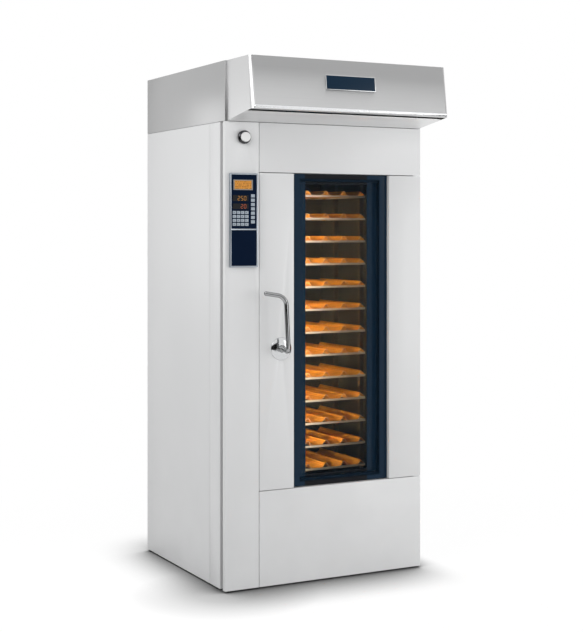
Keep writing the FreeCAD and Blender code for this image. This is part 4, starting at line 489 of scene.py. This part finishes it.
def lamp_glass(name, colour):
    """Ribbed lamp cover that glows."""
    finish = Finish(name)
    rib = (finish.axes()[2] / RIB_PITCH % 1.0) > 0.5
    bright = finish.mix(rib, shade(colour, 1.0), shade(colour, 0.8))
    inputs = {"Base Color": (*colour, 1.0), "Roughness": 0.25, "Emission Color": bright,
              "Emission Strength": 3.0}
    return finish.surface(inputs, rib, 0.0004, 0.3)


def tray_finish(name, coat, metal, box):
    """Bare aluminium frame round a coated, perforated sheet, whose holes are painted dark as shade."""
    finish = Finish(name)
    x, y, _ = finish.axes()
    middle, half = (box[0] + box[1]) / 2, (box[1] - box[0]) / 2
    sheet = (abs(x - middle.x) < half.x - TRAY_RIM) * (abs(y - middle.y) < half.y - TRAY_RIM)
    bake = finish.noise(14.0, 5.0)
    grain = finish.noise(4.0, 4.0, (1.0, 30.0, 200.0))
    across = abs(x / HOLE_PITCH % 1.0 - 0.5)
    along = abs(y / HOLE_PITCH % 1.0 - 0.5)
    hole_shade = ((across * across + along * along) < HOLE_SIZE) * sheet
    skin = finish.mix(bake, shade(coat, 0.62), shade(coat, 1.25))
    rim = finish.mix(grain, shade(metal, 0.85), shade(metal, 1.12))
    base = finish.mix(sheet, rim, skin)
    # Painted shade: the holes are a dark coat colour and a dip in the bump, not openings
    base = finish.mix(hole_shade, base, shade(coat, 0.22))
    inputs = {"Base Color": base, "Roughness": 0.30 + bake * 0.16, "Metallic": 0.55 - sheet * 0.35}
    return finish.surface(inputs, 1.0 - hole_shade, 0.0006, 0.4)


def display_window(name, amber, box):
    """Amber text display above two dark number windows."""
    finish = Finish(name)
    x, _, z = finish.axes()
    left, top = box[0].x + SCREEN_LEFT, box[1].z
    upper = z > top - SCREEN_FOOT
    lit = upper * (z < top - LIT_TOP) * (z > top - LIT_FOOT)
    lit = lit * (x > left + LIT_LEFT) * (x < box[1].x - LIT_RIGHT)
    row = (z - top) / TEXT_ROW
    column = (x - left) / TEXT_COLUMN
    cell = finish.node("ShaderNodeCombineXYZ", inputs={0: column.floor(), 1: row.floor(), 2: 3.0})
    chance = finish.node("ShaderNodeTexWhiteNoise", {"noise_dimensions": "3D"}, {"Vector": cell})
    mark = (chance > 0.45) * ((row % 1.0) > 0.42) * ((column % 1.0) > 0.18) * lit
    bright = finish.mix(mark, amber, shade(amber, 0.22))
    bright = finish.mix(lit, (0.0, 0.0, 0.0), bright)
    frame_tone = finish.mix(upper, (0.003, 0.0035, 0.005), (0.26, 0.25, 0.23))
    base = finish.mix(lit, frame_tone, shade(amber, 0.25))
    inputs = {"Base Color": base, "Roughness": 0.14 + finish.noise(30.0) * 0.05, "Emission Color": bright,
              "Emission Strength": 0.65, "Specular IOR Level": 0.25}
    return finish.surface(inputs)


def lit_segments(name, colour):
    """Digit segments with a slightly uneven glow."""
    finish = Finish(name)
    bright = finish.mix(finish.noise(260.0), shade(colour, 0.85), colour)
    inputs = {"Base Color": (*shade(colour, 0.3), 1.0), "Roughness": 0.4, "Emission Color": bright,
              "Emission Strength": 1.0}
    return finish.surface(inputs)


def pale_floor(name, colour):
    """White floor with a painted shadow of the oven, deepest where the oven meets it, over a faint real
    shadow.
    """
    finish = Finish(name)
    seen = finish.seen()
    x, y, _ = finish.axes()
    far = finish.ramp((x * x + y * y).root(), SHADOW_NEAR, SHADOW_FAR)
    soft = finish.mix(finish.noise(1.2, 2.0), shade(colour, 0.99), colour)
    matt = finish.node("ShaderNodeBsdfDiffuse", inputs={"Color": soft})
    open_sky, touch = (finish.node("ShaderNodeAmbientOcclusion", {"samples": 24}, {"Distance": reach}, "AO")
                       for reach in (SHADOW_DISTANCE, TOUCH_DISTANCE))
    # Painted shadow: two ambient occlusion reaches set how dark the floor is painted, faded out beside the
    # oven
    level = finish.ramp(open_sky, 0.42, 0.97, -0.12) * finish.ramp(touch, 0.45, 0.9, 0.4)
    for edge, gone in SHADOW_SIDES:
        level = level + (1.0 - level) * finish.ramp(x, edge, gone)
    # The painted shadow reaches further out round the front left corner
    across, along = x - SHADOW_CORNER[0], y - SHADOW_CORNER[1]
    level = level * finish.ramp((across * across + along * along).root(), 0.13, 0.40, 0.62)
    tone = finish.mix(level, (0.0, 0.0, 0.0), (1.0, 1.0, 1.0))
    painted_shadow = finish.node("ShaderNodeEmission", inputs={"Color": tone, "Strength": 1.117})
    white = finish.node("ShaderNodeEmission", inputs={"Color": (1.0, 1.0, 1.0, 1.0), "Strength": 1.0})
    # Seen rays show four fifths painted shadow and one fifth real shadow
    near = finish.node("ShaderNodeMixShader", inputs={0: seen * 0.80, 1: matt, 2: painted_shadow})
    both = finish.node("ShaderNodeMixShader", inputs={0: seen * far, 1: near, 2: white})
    finish.node("ShaderNodeOutputMaterial", inputs={"Surface": both})
    return finish.material


def make_finishes(scene):
    """All finishes by name."""
    colours = scene.oven_finishes
    details = scene.oven_details
    navy, steel, chrome = colours.navy, colours.stainless, colours.chrome
    outer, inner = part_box("outer_glass"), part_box("inner_glass")
    middle = (inner[0].x + inner[1].x) / 2
    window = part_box("door_right_skin")[0].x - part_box("door_left_skin")[1].x
    outer_clear = window - 2 * details.outer_border
    inner_clear = details.inner_clear
    recipes = {
        "cabinet paint": (satin_paint, colours.paint),
        "hood steel": (brushed_metal, colours.steel, 0.36),
        # Painted shade: the hood steel made darker for the roof casing
        "casing steel": (brushed_metal, shade(colours.steel, 0.68), 0.36),
        "stainless": (brushed_metal, steel, 0.30, (420.0, 60.0, 1.0)),
        "galvanised": (brushed_metal, shade(steel, 0.9), 0.42, (30.0, 30.0, 30.0), 0.9, 0.14),
        "bead steel": (polished_metal, chrome, 0.16),
        "satin chrome": (polished_metal, shade(chrome, 0.78), 0.10),
        # Polished steel for the lever, its colour darkened to paint dark reflections
        "polished steel": (polished_metal, shade(chrome, 0.45), 0.04),
        "aluminium trim": (brushed_metal, (0.35, 0.385, 0.43), 0.34, (200.0, 60.0, 1.0)),
        "chamber steel": (heat_toned_steel, (0.115, 0.13, 0.145)),
        "rack steel": (heat_toned_steel, (0.15, 0.155, 0.16)),
        # Painted reflection: the button ring is chrome made near black to show a dark reflection
        "dark chrome": (polished_metal, (0.07, 0.07, 0.075), 0.12),
        # Painted light: the underside steel is much lighter than the hood steel, for the light that reaches
        # it from below
        "underside": (brushed_metal, (0.84, 0.84, 0.84), 0.45),
        "outer glass": (printed_glass, navy, outer, outer_clear, details.outer_end,
                        middle - details.painted_shade_shift, inner_clear),
        "inner glass": (printed_glass, shade(navy, 1.25), inner, inner_clear, details.inner_end,
                        middle, inner_clear),
        "navy paint": (satin_paint, navy, 0.5, 0.0, 0.12),
        # Navy paint of the spacer, made darker to paint the shade between the panes
        "spacer paint": (satin_paint, shade(navy, 0.6), 0.5, 0.0, 0.05),
        "control film": (moulded_plastic, colours.film, 0.4, 0.04),
        "display": (display_window, colours.amber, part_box("displays")),
        "amber digits": (lit_segments, (0.42, 0.17, 0.02)),
        "red digits": (lit_segments, (0.36, 0.06, 0.02)),
        "keys": (moulded_plastic, (0.36, 0.42, 0.48), 0.38),
        "key print": (moulded_plastic, (0.03, 0.045, 0.08), 0.5),
        "white cap": (moulded_plastic, (0.84, 0.84, 0.83), 0.22),
        "seal rubber": (moulded_plastic, (0.022, 0.022, 0.024), 0.6),
        "black plastic": (moulded_plastic, (0.015, 0.015, 0.017), 0.45),
        "grey plastic": (moulded_plastic, (0.09, 0.095, 0.10), 0.5),
        "frame primer": (satin_paint, (0.30, 0.31, 0.32), 0.5),
        "motor paint": (satin_paint, (0.075, 0.11, 0.15), 0.35),
        "mineral wool": (mineral_wool, (0.17, 0.155, 0.12)),
        "lamp glass": (lamp_glass, colours.lamp),
        "heater": (heat_toned_steel, (0.12, 0.11, 0.105)),
        "tray": (tray_finish, colours.coat, (0.70, 0.705, 0.71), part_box("baking_trays")),
        "brass": (brushed_metal, (0.52, 0.36, 0.13), 0.32, (40.0, 40.0, 40.0), 1.0, 0.08),
    }
    return {name: make(name, *values) for name, (make, *values) in recipes.items()}


NODE_FINISH = {
    "cabinet paint": ["side_panels", "corner_strips", "control_column", "header_panel", "lower_front_panel",
                      "door_left_skin", "door_right_skin"],
    "hood steel": ["hood_canopy"],
    "casing steel": ["top_casing"],
    "underside": ["hood_underside"],
    "rack steel": ["rack_frame", "tray_runners"],
    "dark chrome": ["button_bezel"],
    "stainless": ["front_frame", "lamp_housing", "fan_rotor", "door_core", "door_inner_panel",
                  "hinge_brackets", "latch_bolt", "latch_keeper", "drain_pipe",
                  "damper_flap", "hood_fan_impeller", "flue_collar"],
    "galvanised": ["rear_panel", "exhaust_duct"],
    "satin chrome": ["handle_rosette"],
    "polished steel": ["handle_lever"],
    "aluminium trim": ["control_bezel"],
    "chamber steel": ["air_diffuser", "air_duct", "chamber_walls", "chamber_ceiling", "chamber_floor",
                      "turntable"],
    "outer glass": ["outer_glass"],
    "inner glass": ["inner_glass"],
    "spacer paint": ["glass_spacer"],
    "control film": ["control_plate", "blank_plate"],
    "display": ["displays"],
    "keys": ["keypad"],
    "white cap": ["button_cap"],
    "seal rubber": ["door_seal"],
    "black plastic": ["levelling_feet", "cable_gland"],
    "grey plastic": ["control_box"],
    "frame primer": ["main_frame", "motor_plate", "floor_bearing", "hinge_blocks"],
    "motor paint": ["fan_motor", "gear_motor", "hood_fan_stator"],
    "mineral wool": ["insulation"],
    "lamp glass": ["lamp_lens"],
    "heater": ["heating_element"],
    "tray": ["baking_trays"],
    "brass": ["water_supply"],
}
FINISH_OF = {node: finish for finish, nodes in NODE_FINISH.items() for node in nodes}


# Shapes


def piece(name, mesh, finish, body, replaced=()):
    """Place a mesh as a piece that rides on a body, with the named finish, and hide the CAD pieces it stands
    for.
    """
    obj = bpy.data.objects.new(name, mesh)
    bpy.context.scene.collection.objects.link(obj)
    mesh.materials.clear()
    mesh.materials.append(bpy.data.materials[finish])
    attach(obj, body)
    if replaced:
        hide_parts(*replaced)


def soften(mesh, sharp):
    """Smooth shading apart from the sharp edges."""
    mesh.shade_smooth()
    mesh.set_sharp_from_angle(angle=math.radians(sharp))
    return mesh


def to_mesh(name, shape, sharp=SHARP):
    """Mesh from a bmesh, smooth apart from its sharp edges."""
    mesh = bpy.data.meshes.new(name)
    shape.to_mesh(mesh)
    shape.free()
    return soften(mesh, sharp)


def round_edges(shape, edges, fold):
    """Give edges a small radius."""
    bmesh.ops.bevel(shape, geom=edges, offset=fold, segments=2, profile=0.5, affect="EDGES",
                    clamp_overlap=True)


def box_into(shape, low, high, fold=0.0):
    """Add a box to a bmesh, with rounded edges where a fold is given."""
    low, high = Vector(low), Vector(high)
    place = Matrix.Translation((low + high) / 2) @ Matrix.Diagonal((*(high - low), 1.0))
    made = bmesh.ops.create_cube(shape, size=1.0, matrix=place)
    if fold:
        round_edges(shape, list({edge for vert in made["verts"] for edge in vert.link_edges}), fold)


def lathe(shape, outline, base, axis, steps):
    """Turn (radius, along) pairs, which start and end on the axis, into a closed solid."""
    place = Matrix.Translation(base) @ Vector(axis).to_track_quat("Z", "Y").to_matrix().to_4x4()
    turns = [2 * math.pi * step / steps for step in range(steps)]
    rings = []
    for radius, along in outline:
        spots = [Vector((radius * math.cos(turn), radius * math.sin(turn), along)) for turn in turns]
        rings.append([shape.verts.new(place @ spot) for spot in spots])
    for first, second in zip(rings, rings[1:]):
        for step in range(steps):
            after = (step + 1) % steps
            shape.faces.new((first[step], first[after], second[after], second[step]))
    bmesh.ops.remove_doubles(shape, verts=shape.verts, dist=MERGE / 10)
    bmesh.ops.recalc_face_normals(shape, faces=shape.faces)


def folded_copy(node, fold=0.0, sharp=SHARP):
    """Copy of a CAD piece, with rounded edges where a fold is given, which stands for it."""
    shape = bmesh.new()
    shape.from_mesh(NODES[node].data)
    bmesh.ops.remove_doubles(shape, verts=shape.verts, dist=MERGE)
    flat = math.radians(FLAT)
    bmesh.ops.dissolve_limit(shape, angle_limit=flat, verts=shape.verts, edges=shape.edges)
    if fold:
        least = math.radians(FOLD)
        folds = [edge for edge in shape.edges if edge.is_manifold and edge.calc_face_angle() > least]
        round_edges(shape, folds, fold)
    name = node + "_fine"
    piece(name, to_mesh(name, shape, sharp), FINISH_OF[node], BODY_OF[node], (node,))


def grown(name, points, build, settings, finish, body):
    """Run a node tree on a cloud of points and keep the plain mesh."""
    cloud = bpy.data.meshes.new(name)
    cloud.from_pydata(points, [], [])
    obj = bpy.data.objects.new(name, cloud)
    bpy.context.scene.collection.objects.link(obj)
    modifier = obj.modifiers.new(name, "NODES")
    modifier.node_group = build(bpy.data.materials[finish])
    for item in modifier.node_group.interface.items_tree:
        if item.item_type == "SOCKET" and item.name in settings:
            modifier[item.identifier] = settings[item.name]
    ready = obj.evaluated_get(bpy.context.evaluated_depsgraph_get())
    mesh = bpy.data.meshes.new_from_object(ready)
    bpy.data.objects.remove(obj)
    piece(name, soften(mesh, SHARP_ON_FIXINGS), finish, body)


def screw_tree(material):
    """Pan head screws: a skirt and a crown."""
    tree = Scatter("pan head screws", {"Radius": 0.004, "Height": 0.002, "Facing": (0.0, 0.0, 0.0)})
    radius, height = tree.size("Radius"), tree.size("Height")
    rings = []
    for top, bottom, low in ((0.86, 1.0, 0.0), (0.45, 0.86, 0.5)):
        cone = tree.node("GeometryNodeMeshCone", inputs={
            "Vertices": 12, "Radius Top": radius * top, "Radius Bottom": radius * bottom,
            "Depth": height * 0.5})
        rise = tree.node("ShaderNodeCombineXYZ", inputs={2: height * low})
        rings.append(tree.node("GeometryNodeTransform", inputs={0: cone, "Translation": rise}))
    head = tree.node("GeometryNodeJoinGeometry", inputs={0: rings})
    return tree.close(head, material)


def louvre_tree(material):
    """Pressed louvres: flattened half rounds over the slots."""
    tree = Scatter("pressed louvres", {
        "Length": 0.24, "Height": 0.012, "Reach": 0.007, "Facing": (0.0, 0.0, 0.0)})
    ball = tree.node("GeometryNodeMeshUVSphere", inputs={"Segments": 20, "Rings": 8, "Radius": 0.5})
    size = tree.node("ShaderNodeCombineXYZ", inputs={
        0: tree.size("Length"), 1: tree.size("Reach"), 2: tree.size("Height")})
    return tree.close(ball, material, size)


def facing(axis):
    """Turn that points +Z along an axis."""
    return Vector(axis).to_track_quat("Z", "Y").to_euler()


def evenly(first, second, count):
    """Evenly spaced points from one place to another."""
    first, second = Vector(first), Vector(second)
    return [tuple(first.lerp(second, step / (count - 1))) for step in range(count)]


# Operators


class OVEN_OT_finishes(bpy.types.Operator):
    """Make the finishes and give every CAD piece its own"""
    bl_idname = "oven.finishes"
    bl_label = "Finishes"

    def execute(self, context):
        made = make_finishes(context.scene)
        for node, finish in FINISH_OF.items():
            for slot in NODES[node].material_slots:
                slot.material = made[finish]
        bare = [node for node, obj in NODES.items() if node not in FINISH_OF or not obj.material_slots]
        if bare:
            raise RuntimeError("no finish on " + ", ".join(bare))
        return {"FINISHED"}


class OVEN_OT_panels(bpy.types.Operator):
    """Round the folds of the cabinet panels and the door skins"""
    bl_idname = "oven.panels"
    bl_label = "Panels"

    def execute(self, context):
        details = context.scene.oven_details
        for node in NODE_FINISH["cabinet paint"]:
            folded_copy(node, details.fold)
        folded_copy("control_bezel", 2 * details.fold)
        self.groove_seals(details)
        return {"FINISHED"}

    def groove_seals(self, details):
        """Black rubber strips in the grooves behind the front corners, which also paint the shade deep in
        the grooves, with a gap where the door swings.
        """
        column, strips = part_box("control_column"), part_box("corner_strips")
        below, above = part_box("lower_front_panel")[1].z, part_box("header_panel")[0].z
        front, rear = column[0].y + SHADE_STRIP_SETBACK, strips[0].y - SHADE_STRIP_GAP
        outer = strips[1].x - details.groove
        inner = outer - SHADE_STRIP_WIDTH
        foot, head = strips[0].z, strips[1].z
        shape = bmesh.new()
        # Painted shade: black strips at the foot of the grooves
        box_into(shape, (-outer, front, foot), (-inner, rear, head), SHADE_STRIP_FOLD)
        for start, end in ((foot, below), (above, head)):
            box_into(shape, (inner, front, start), (outer, rear, end), SHADE_STRIP_FOLD)
        piece("groove_seals", to_mesh("groove_seals", shape), "seal rubber", "cabinet")


class OVEN_OT_hood(bpy.types.Operator):
    """Smooth the hood and the flue, and put the bare plate on the front"""
    bl_idname = "oven.hood"
    bl_label = "Hood"

    def execute(self, context):
        details = context.scene.oven_details
        folded_copy("hood_canopy")
        folded_copy("flue_collar")
        folded_copy("top_casing", details.fold)
        low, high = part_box("hood_canopy")
        self.bead(low, high)
        self.plate(low, high, details.plate_width / 2, details.plate_height / 2)
        return {"FINISHED"}

    def bead(self, low, high):
        """Polished sleeve with round ends over the bead along the lip."""
        outline = []
        for step in range(BEAD_STEPS + 1):
            angle = math.radians(90 * step / BEAD_STEPS)
            outline.append((BEAD_RADIUS * math.sin(angle), BEAD_RADIUS * (1 - math.cos(angle))))
        reach = high.x - low.x - 2 * BEAD_END + 2 * BEAD_RADIUS
        outline += [(across, reach - up) for across, up in reversed(outline)]
        base = (low.x + BEAD_END - BEAD_RADIUS, low.y + BEAD_SETBACK, low.z + BEAD_RISE)
        shape = bmesh.new()
        lathe(shape, outline, base, (1, 0, 0), BEAD_SIDES)
        piece("lip_bead", to_mesh("lip_bead", shape, SHARP_ON_BEAD), "bead steel", "cabinet")

    def plate(self, low, high, half_x, half_y):
        """Bare plate in a thin frame on the sloping front."""
        lip = Vector((0.0, low.y + LIP_SETBACK, low.z + LIP_RISE))
        top = Vector((0.0, low.y + TOP_SETBACK, high.z))
        lean = (top - lip).normalized()
        out = Vector((0.0, -lean.z, lean.y))
        middle = lip + lean * PLATE_RISE + Vector((PLATE_SHIFT, 0.0, 0.0))
        turn = Matrix((Vector((1, 0, 0)), lean, out)).transposed().to_4x4()
        place = Matrix.Translation(middle) @ turn
        for name, finish, like, inset, rise in PLATE_LAYERS:
            across, up = half_x - inset, half_y - inset
            shape = bmesh.new()
            box_into(shape, (-across, -up, 0.0), (across, up, rise), PLATE_FOLD)
            shape.transform(place)
            piece("hood_" + name, to_mesh(name, shape), finish, "cabinet")


class OVEN_OT_handle(bpy.types.Operator):
    """Smooth lever and rosette"""
    bl_idname = "oven.handle"
    bl_label = "Handle"

    def execute(self, context):
        folded_copy("handle_lever", sharp=SHARP_ON_ROUNDS)
        folded_copy("handle_rosette", ROSETTE_FOLD, SHARP_ON_ROUNDS)
        return {"FINISHED"}


class OVEN_OT_controls(bpy.types.Operator):
    """Push button, number displays and key prints"""
    bl_idname = "oven.controls"
    bl_label = "Controls"

    segments = {"0": "abcdef", "1": "bc", "2": "abged", "3": "abgcd", "4": "fgbc", "5": "afgcd",
                "6": "afgedc", "7": "abc", "8": "abcdefg", "9": "abfgcd"}

    def digit(self, shape, mark, left, foot, height, face):
        """Up to seven bars for one digit."""
        width = height * DIGIT_WIDTH
        half = height * DIGIT_BAR / 2
        gap = 2 * half * DIGIT_GAP
        front = face - DIGIT_RELIEF
        for name, level in (("a", height), ("g", height / 2), ("d", 0.0)):
            if name in self.segments[mark]:
                low = (left + half + gap, front, foot + level - half)
                high = (left + width - half - gap, face, foot + level + half)
                box_into(shape, low, high)
        for name, across, start in (("f", 0.0, 0.5), ("e", 0.0, 0.0), ("b", width, 0.5), ("c", width, 0.0)):
            if name in self.segments[mark]:
                low = (left + across - half, front, foot + start * height + gap)
                high = (left + across + half, face, foot + (start + 0.5) * height - gap)
                box_into(shape, low, high)

    def number(self, name, text, right, foot, height, face, finish):
        """Digits of one display, set from the right."""
        shape = bmesh.new()
        for place, mark in enumerate(reversed(text)):
            left = right - height * (DIGIT_WIDTH + place * DIGIT_STEP)
            self.digit(shape, mark, left, foot, height, face)
        piece(name, to_mesh(name, shape), finish, "cabinet")

    def key_marks(self, low, high):
        """A short or a long print on each key."""
        shape = bmesh.new()
        for row in range(KEY_ROWS):
            for column in range(KEY_COLUMNS):
                left = low.x + KEY_LEFT + column * KEY_STEP_ACROSS
                top = high.z - KEY_TOP - row * KEY_STEP_DOWN
                right = left + (MARK_SHORT if (row + column) % 3 else MARK_LONG)
                box_into(shape, (left, low.y - MARK_RELIEF, top - MARK_FOOT), (right, low.y, top - MARK_TOP))
        piece("key_marks", to_mesh("key_marks", shape), "key print", "cabinet")

    def execute(self, context):
        details = context.scene.oven_details
        folded_copy("button_bezel", BUTTON_RING_FOLD, SHARP_ON_ROUNDS)
        folded_copy("button_cap", BUTTON_FOLD, SHARP_ON_ROUNDS)
        screen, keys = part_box("displays"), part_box("keypad")
        face, top = screen[0].y, screen[1].z
        right = keys[0].x + NUMBER_RIGHT
        for name, text, drop, finish in (
                ("upper_number", details.upper, UPPER_NUMBER_DROP, "amber digits"),
                ("lower_number", details.lower, LOWER_NUMBER_DROP, "red digits")):
            self.number(name, text, right, top - drop, details.digit, face, finish)
        self.key_marks(*keys)
        return {"FINISHED"}


class OVEN_OT_rack(bpy.types.Operator):
    """Smooth the trays, the turntable and the door seal"""
    bl_idname = "oven.rack"
    bl_label = "Rack"

    def execute(self, context):
        folded_copy("baking_trays", sharp=SHARP_ON_TRAYS)
        folded_copy("turntable", sharp=SHARP_ON_TRAYS)
        folded_copy("door_seal", sharp=SHARP_ON_ROUNDS)
        return {"FINISHED"}


class OVEN_OT_fixings(bpy.types.Operator):
    """Screws and louvres on the rear panel, and rivets on the flue"""
    bl_idname = "oven.fixings"
    bl_label = "Screws and louvres"

    def execute(self, context):
        details = context.scene.oven_details
        panel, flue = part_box("rear_panel"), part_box("flue_collar")
        head = {"Radius": details.screw, "Height": details.screw * SCREW_HEIGHT}
        grown("rear_screws", self.screws(*panel), screw_tree, {**head, "Facing": facing((0, 1, 0))},
              "stainless", "cabinet")
        grown("flue_rivets", self.rivets(*flue), screw_tree, {**head, "Facing": facing((0, 0, 1))},
              "stainless", "cabinet")
        hoods = {"Length": LOUVRE_LENGTH, "Height": LOUVRE_HEIGHT, "Reach": 2 * details.louvre,
                 "Facing": (0.0, 0.0, 0.0)}
        grown("rear_louvres", self.louvres(panel[1].y), louvre_tree, hoods,
              "galvanised", "cabinet")
        return {"FINISHED"}

    def screws(self, low, high):
        """Places round the edge of the rear panel."""
        rear = high.y
        left, right = low.x + SCREW_INSET, high.x - SCREW_INSET
        foot, head = low.z + SCREW_END, high.z - SCREW_END
        points = []
        for x in (left, right):
            points += evenly((x, rear, foot), (x, rear, head), SCREWS_UP)
        for z in (head, foot):
            points += evenly((left + SCREW_CORNER, rear, z), (right - SCREW_CORNER, rear, z), SCREWS_ACROSS)
        return points

    def rivets(self, low, high):
        """Places round the flange of the flue."""
        middle = (low + high) / 2
        ring = (high.x - low.x) / 2 - RIVET_INSET
        angles = [2 * math.pi * (step + 0.5) / RIVETS for step in range(RIVETS)]
        return [(middle.x + ring * math.cos(angle), middle.y + ring * math.sin(angle), low.z + RIVET_RISE)
                for angle in angles]

    def louvres(self, rear):
        """Places of two columns of louvres, from the top down."""
        return [(x, rear, LOUVRE_TOP - step * LOUVRE_PITCH)
                for x in (-LOUVRE_MIDDLE, LOUVRE_MIDDLE) for step in range(LOUVRES)]


class OVEN_OT_stage(bpy.types.Operator):
    """Floor, light and camera"""
    bl_idname = "oven.stage"
    bl_label = "Stage"

    def execute(self, context):
        scene = context.scene
        stage = scene.oven_stage
        self.floor(scene)
        self.white_room(scene, stage.sky)
        for name, (place, aim, size) in LIGHTS.items():
            self.area(name + "_light", place, aim, size, getattr(stage, name))
        self.chamber_lamp(stage.lamp, scene.oven_finishes.lamp)
        self.boards(scene)
        self.camera(scene, stage)
        scene.view_settings.view_transform = "Standard"
        return {"FINISHED"}

    def floor(self, scene):
        """Wide pale floor."""
        shape = bmesh.new()
        bmesh.ops.create_grid(shape, x_segments=24, y_segments=24, size=FLOOR_REACH)
        floor = bpy.data.objects.new("pale_floor", to_mesh("pale_floor", shape))
        floor.data.materials.append(pale_floor("pale floor", (0.86, 0.86, 0.86)))
        scene.collection.objects.link(floor)

    def white_room(self, scene, strength):
        """White all round where it is seen, and a softer light from all sides on the oven."""
        scene.world = bpy.data.worlds.new("white room")
        scene.world.use_nodes = True
        room = NodeMaker(scene.world.node_tree)
        level = room.ramp(room.seen(), 0.0, 1.0, strength)
        sky = room.node("ShaderNodeBackground", inputs={"Color": (1.0, 1.0, 1.0, 1.0), "Strength": level})
        room.node("ShaderNodeOutputWorld", inputs={"Surface": sky})

    def area(self, name, place, aim, size, power):
        """Soft light that looks at a point."""
        light = bpy.data.lights.new(name, "AREA")
        light.shape = "RECTANGLE"
        light.size, light.size_y = size
        light.energy = power
        obj = bpy.data.objects.new(name, light)
        obj.location = place
        obj.rotation_euler = (Vector(aim) - Vector(place)).to_track_quat("-Z", "Y").to_euler()
        bpy.context.scene.collection.objects.link(obj)
        return light

    def chamber_lamp(self, power, colour):
        """Warm strip in front of the lamp cover."""
        low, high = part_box("lamp_lens")
        place = Vector((high.x + LAMP_GAP, high.y + LAMP_GAP, (low.z + high.z) / 2))
        light = self.area("chamber_lamp", place, place + Vector(LAMP_AIM), LAMP_SIZE, power)
        light.color = colour
        light.spread = math.radians(LAMP_SPREAD)

    def boards(self, scene):
        """Dark studio boards beside and in front of the view, which show only in shiny metal."""
        shape = bmesh.new()
        for low, high in DARK_BOARDS:
            box_into(shape, low, high)
        board = bpy.data.objects.new("dark_boards", to_mesh("dark_boards", shape))
        board.data.materials.append(moulded_plastic("board black", (0.012, 0.012, 0.012), 0.9, 0.0))
        scene.collection.objects.link(board)
        for kind in ("camera", "diffuse", "transmission", "shadow", "volume_scatter"):
            setattr(board, "visible_" + kind, False)

    def camera(self, scene, stage):
        """Level camera at the viewing angle of the photograph."""
        camera = bpy.data.cameras.new("camera")
        camera.lens = stage.lens
        camera.sensor_width = 36.0
        camera.shift_x = stage.shift_x
        camera.shift_y = stage.shift_y
        camera.clip_end = 100.0
        view = bpy.data.objects.new("camera", camera)
        view.location = stage.camera
        view.rotation_euler = (math.pi / 2, 0.0, stage.turn)
        scene.collection.objects.link(view)
        scene.camera = view


class OVEN_PT_looks(bpy.types.Panel):
    """Lists the steps that dress the oven"""
    bl_idname = "OVEN_PT_looks"
    bl_label = "Rack Oven"
    bl_space_type = "VIEW_3D"
    bl_region_type = "UI"
    bl_category = "Oven"

    def draw(self, context):
        layout = self.layout
        for step in STEPS:
            layout.operator(step.bl_idname)
        for place in GROUPS:
            group = getattr(context.scene, place)
            box = layout.box()
            for name in group.__annotations__:
                box.prop(group, name)


STEPS = (OVEN_OT_finishes, OVEN_OT_panels, OVEN_OT_hood, OVEN_OT_handle, OVEN_OT_controls, OVEN_OT_rack,
         OVEN_OT_fixings, OVEN_OT_stage)
GROUPS = {"oven_finishes": OvenFinishes, "oven_details": OvenDetails, "oven_stage": OvenStage}


def register():
    for place, group in GROUPS.items():
        bpy.utils.register_class(group)
        setattr(bpy.types.Scene, place, bpy.props.PointerProperty(type=group))
    for step in STEPS:
        bpy.utils.register_class(step)
    bpy.utils.register_class(OVEN_PT_looks)


def unregister():
    bpy.utils.unregister_class(OVEN_PT_looks)
    for step in reversed(STEPS):
        bpy.utils.unregister_class(step)
    for place, group in GROUPS.items():
        delattr(bpy.types.Scene, place)
        bpy.utils.unregister_class(group)


def main():
    register()
    bpy.ops.oven.finishes()
    bpy.ops.oven.panels()
    bpy.ops.oven.hood()
    bpy.ops.oven.handle()
    bpy.ops.oven.controls()
    bpy.ops.oven.rack()
    bpy.ops.oven.fixings()
    bpy.ops.oven.stage()


if __name__ == "__main__":
    main()
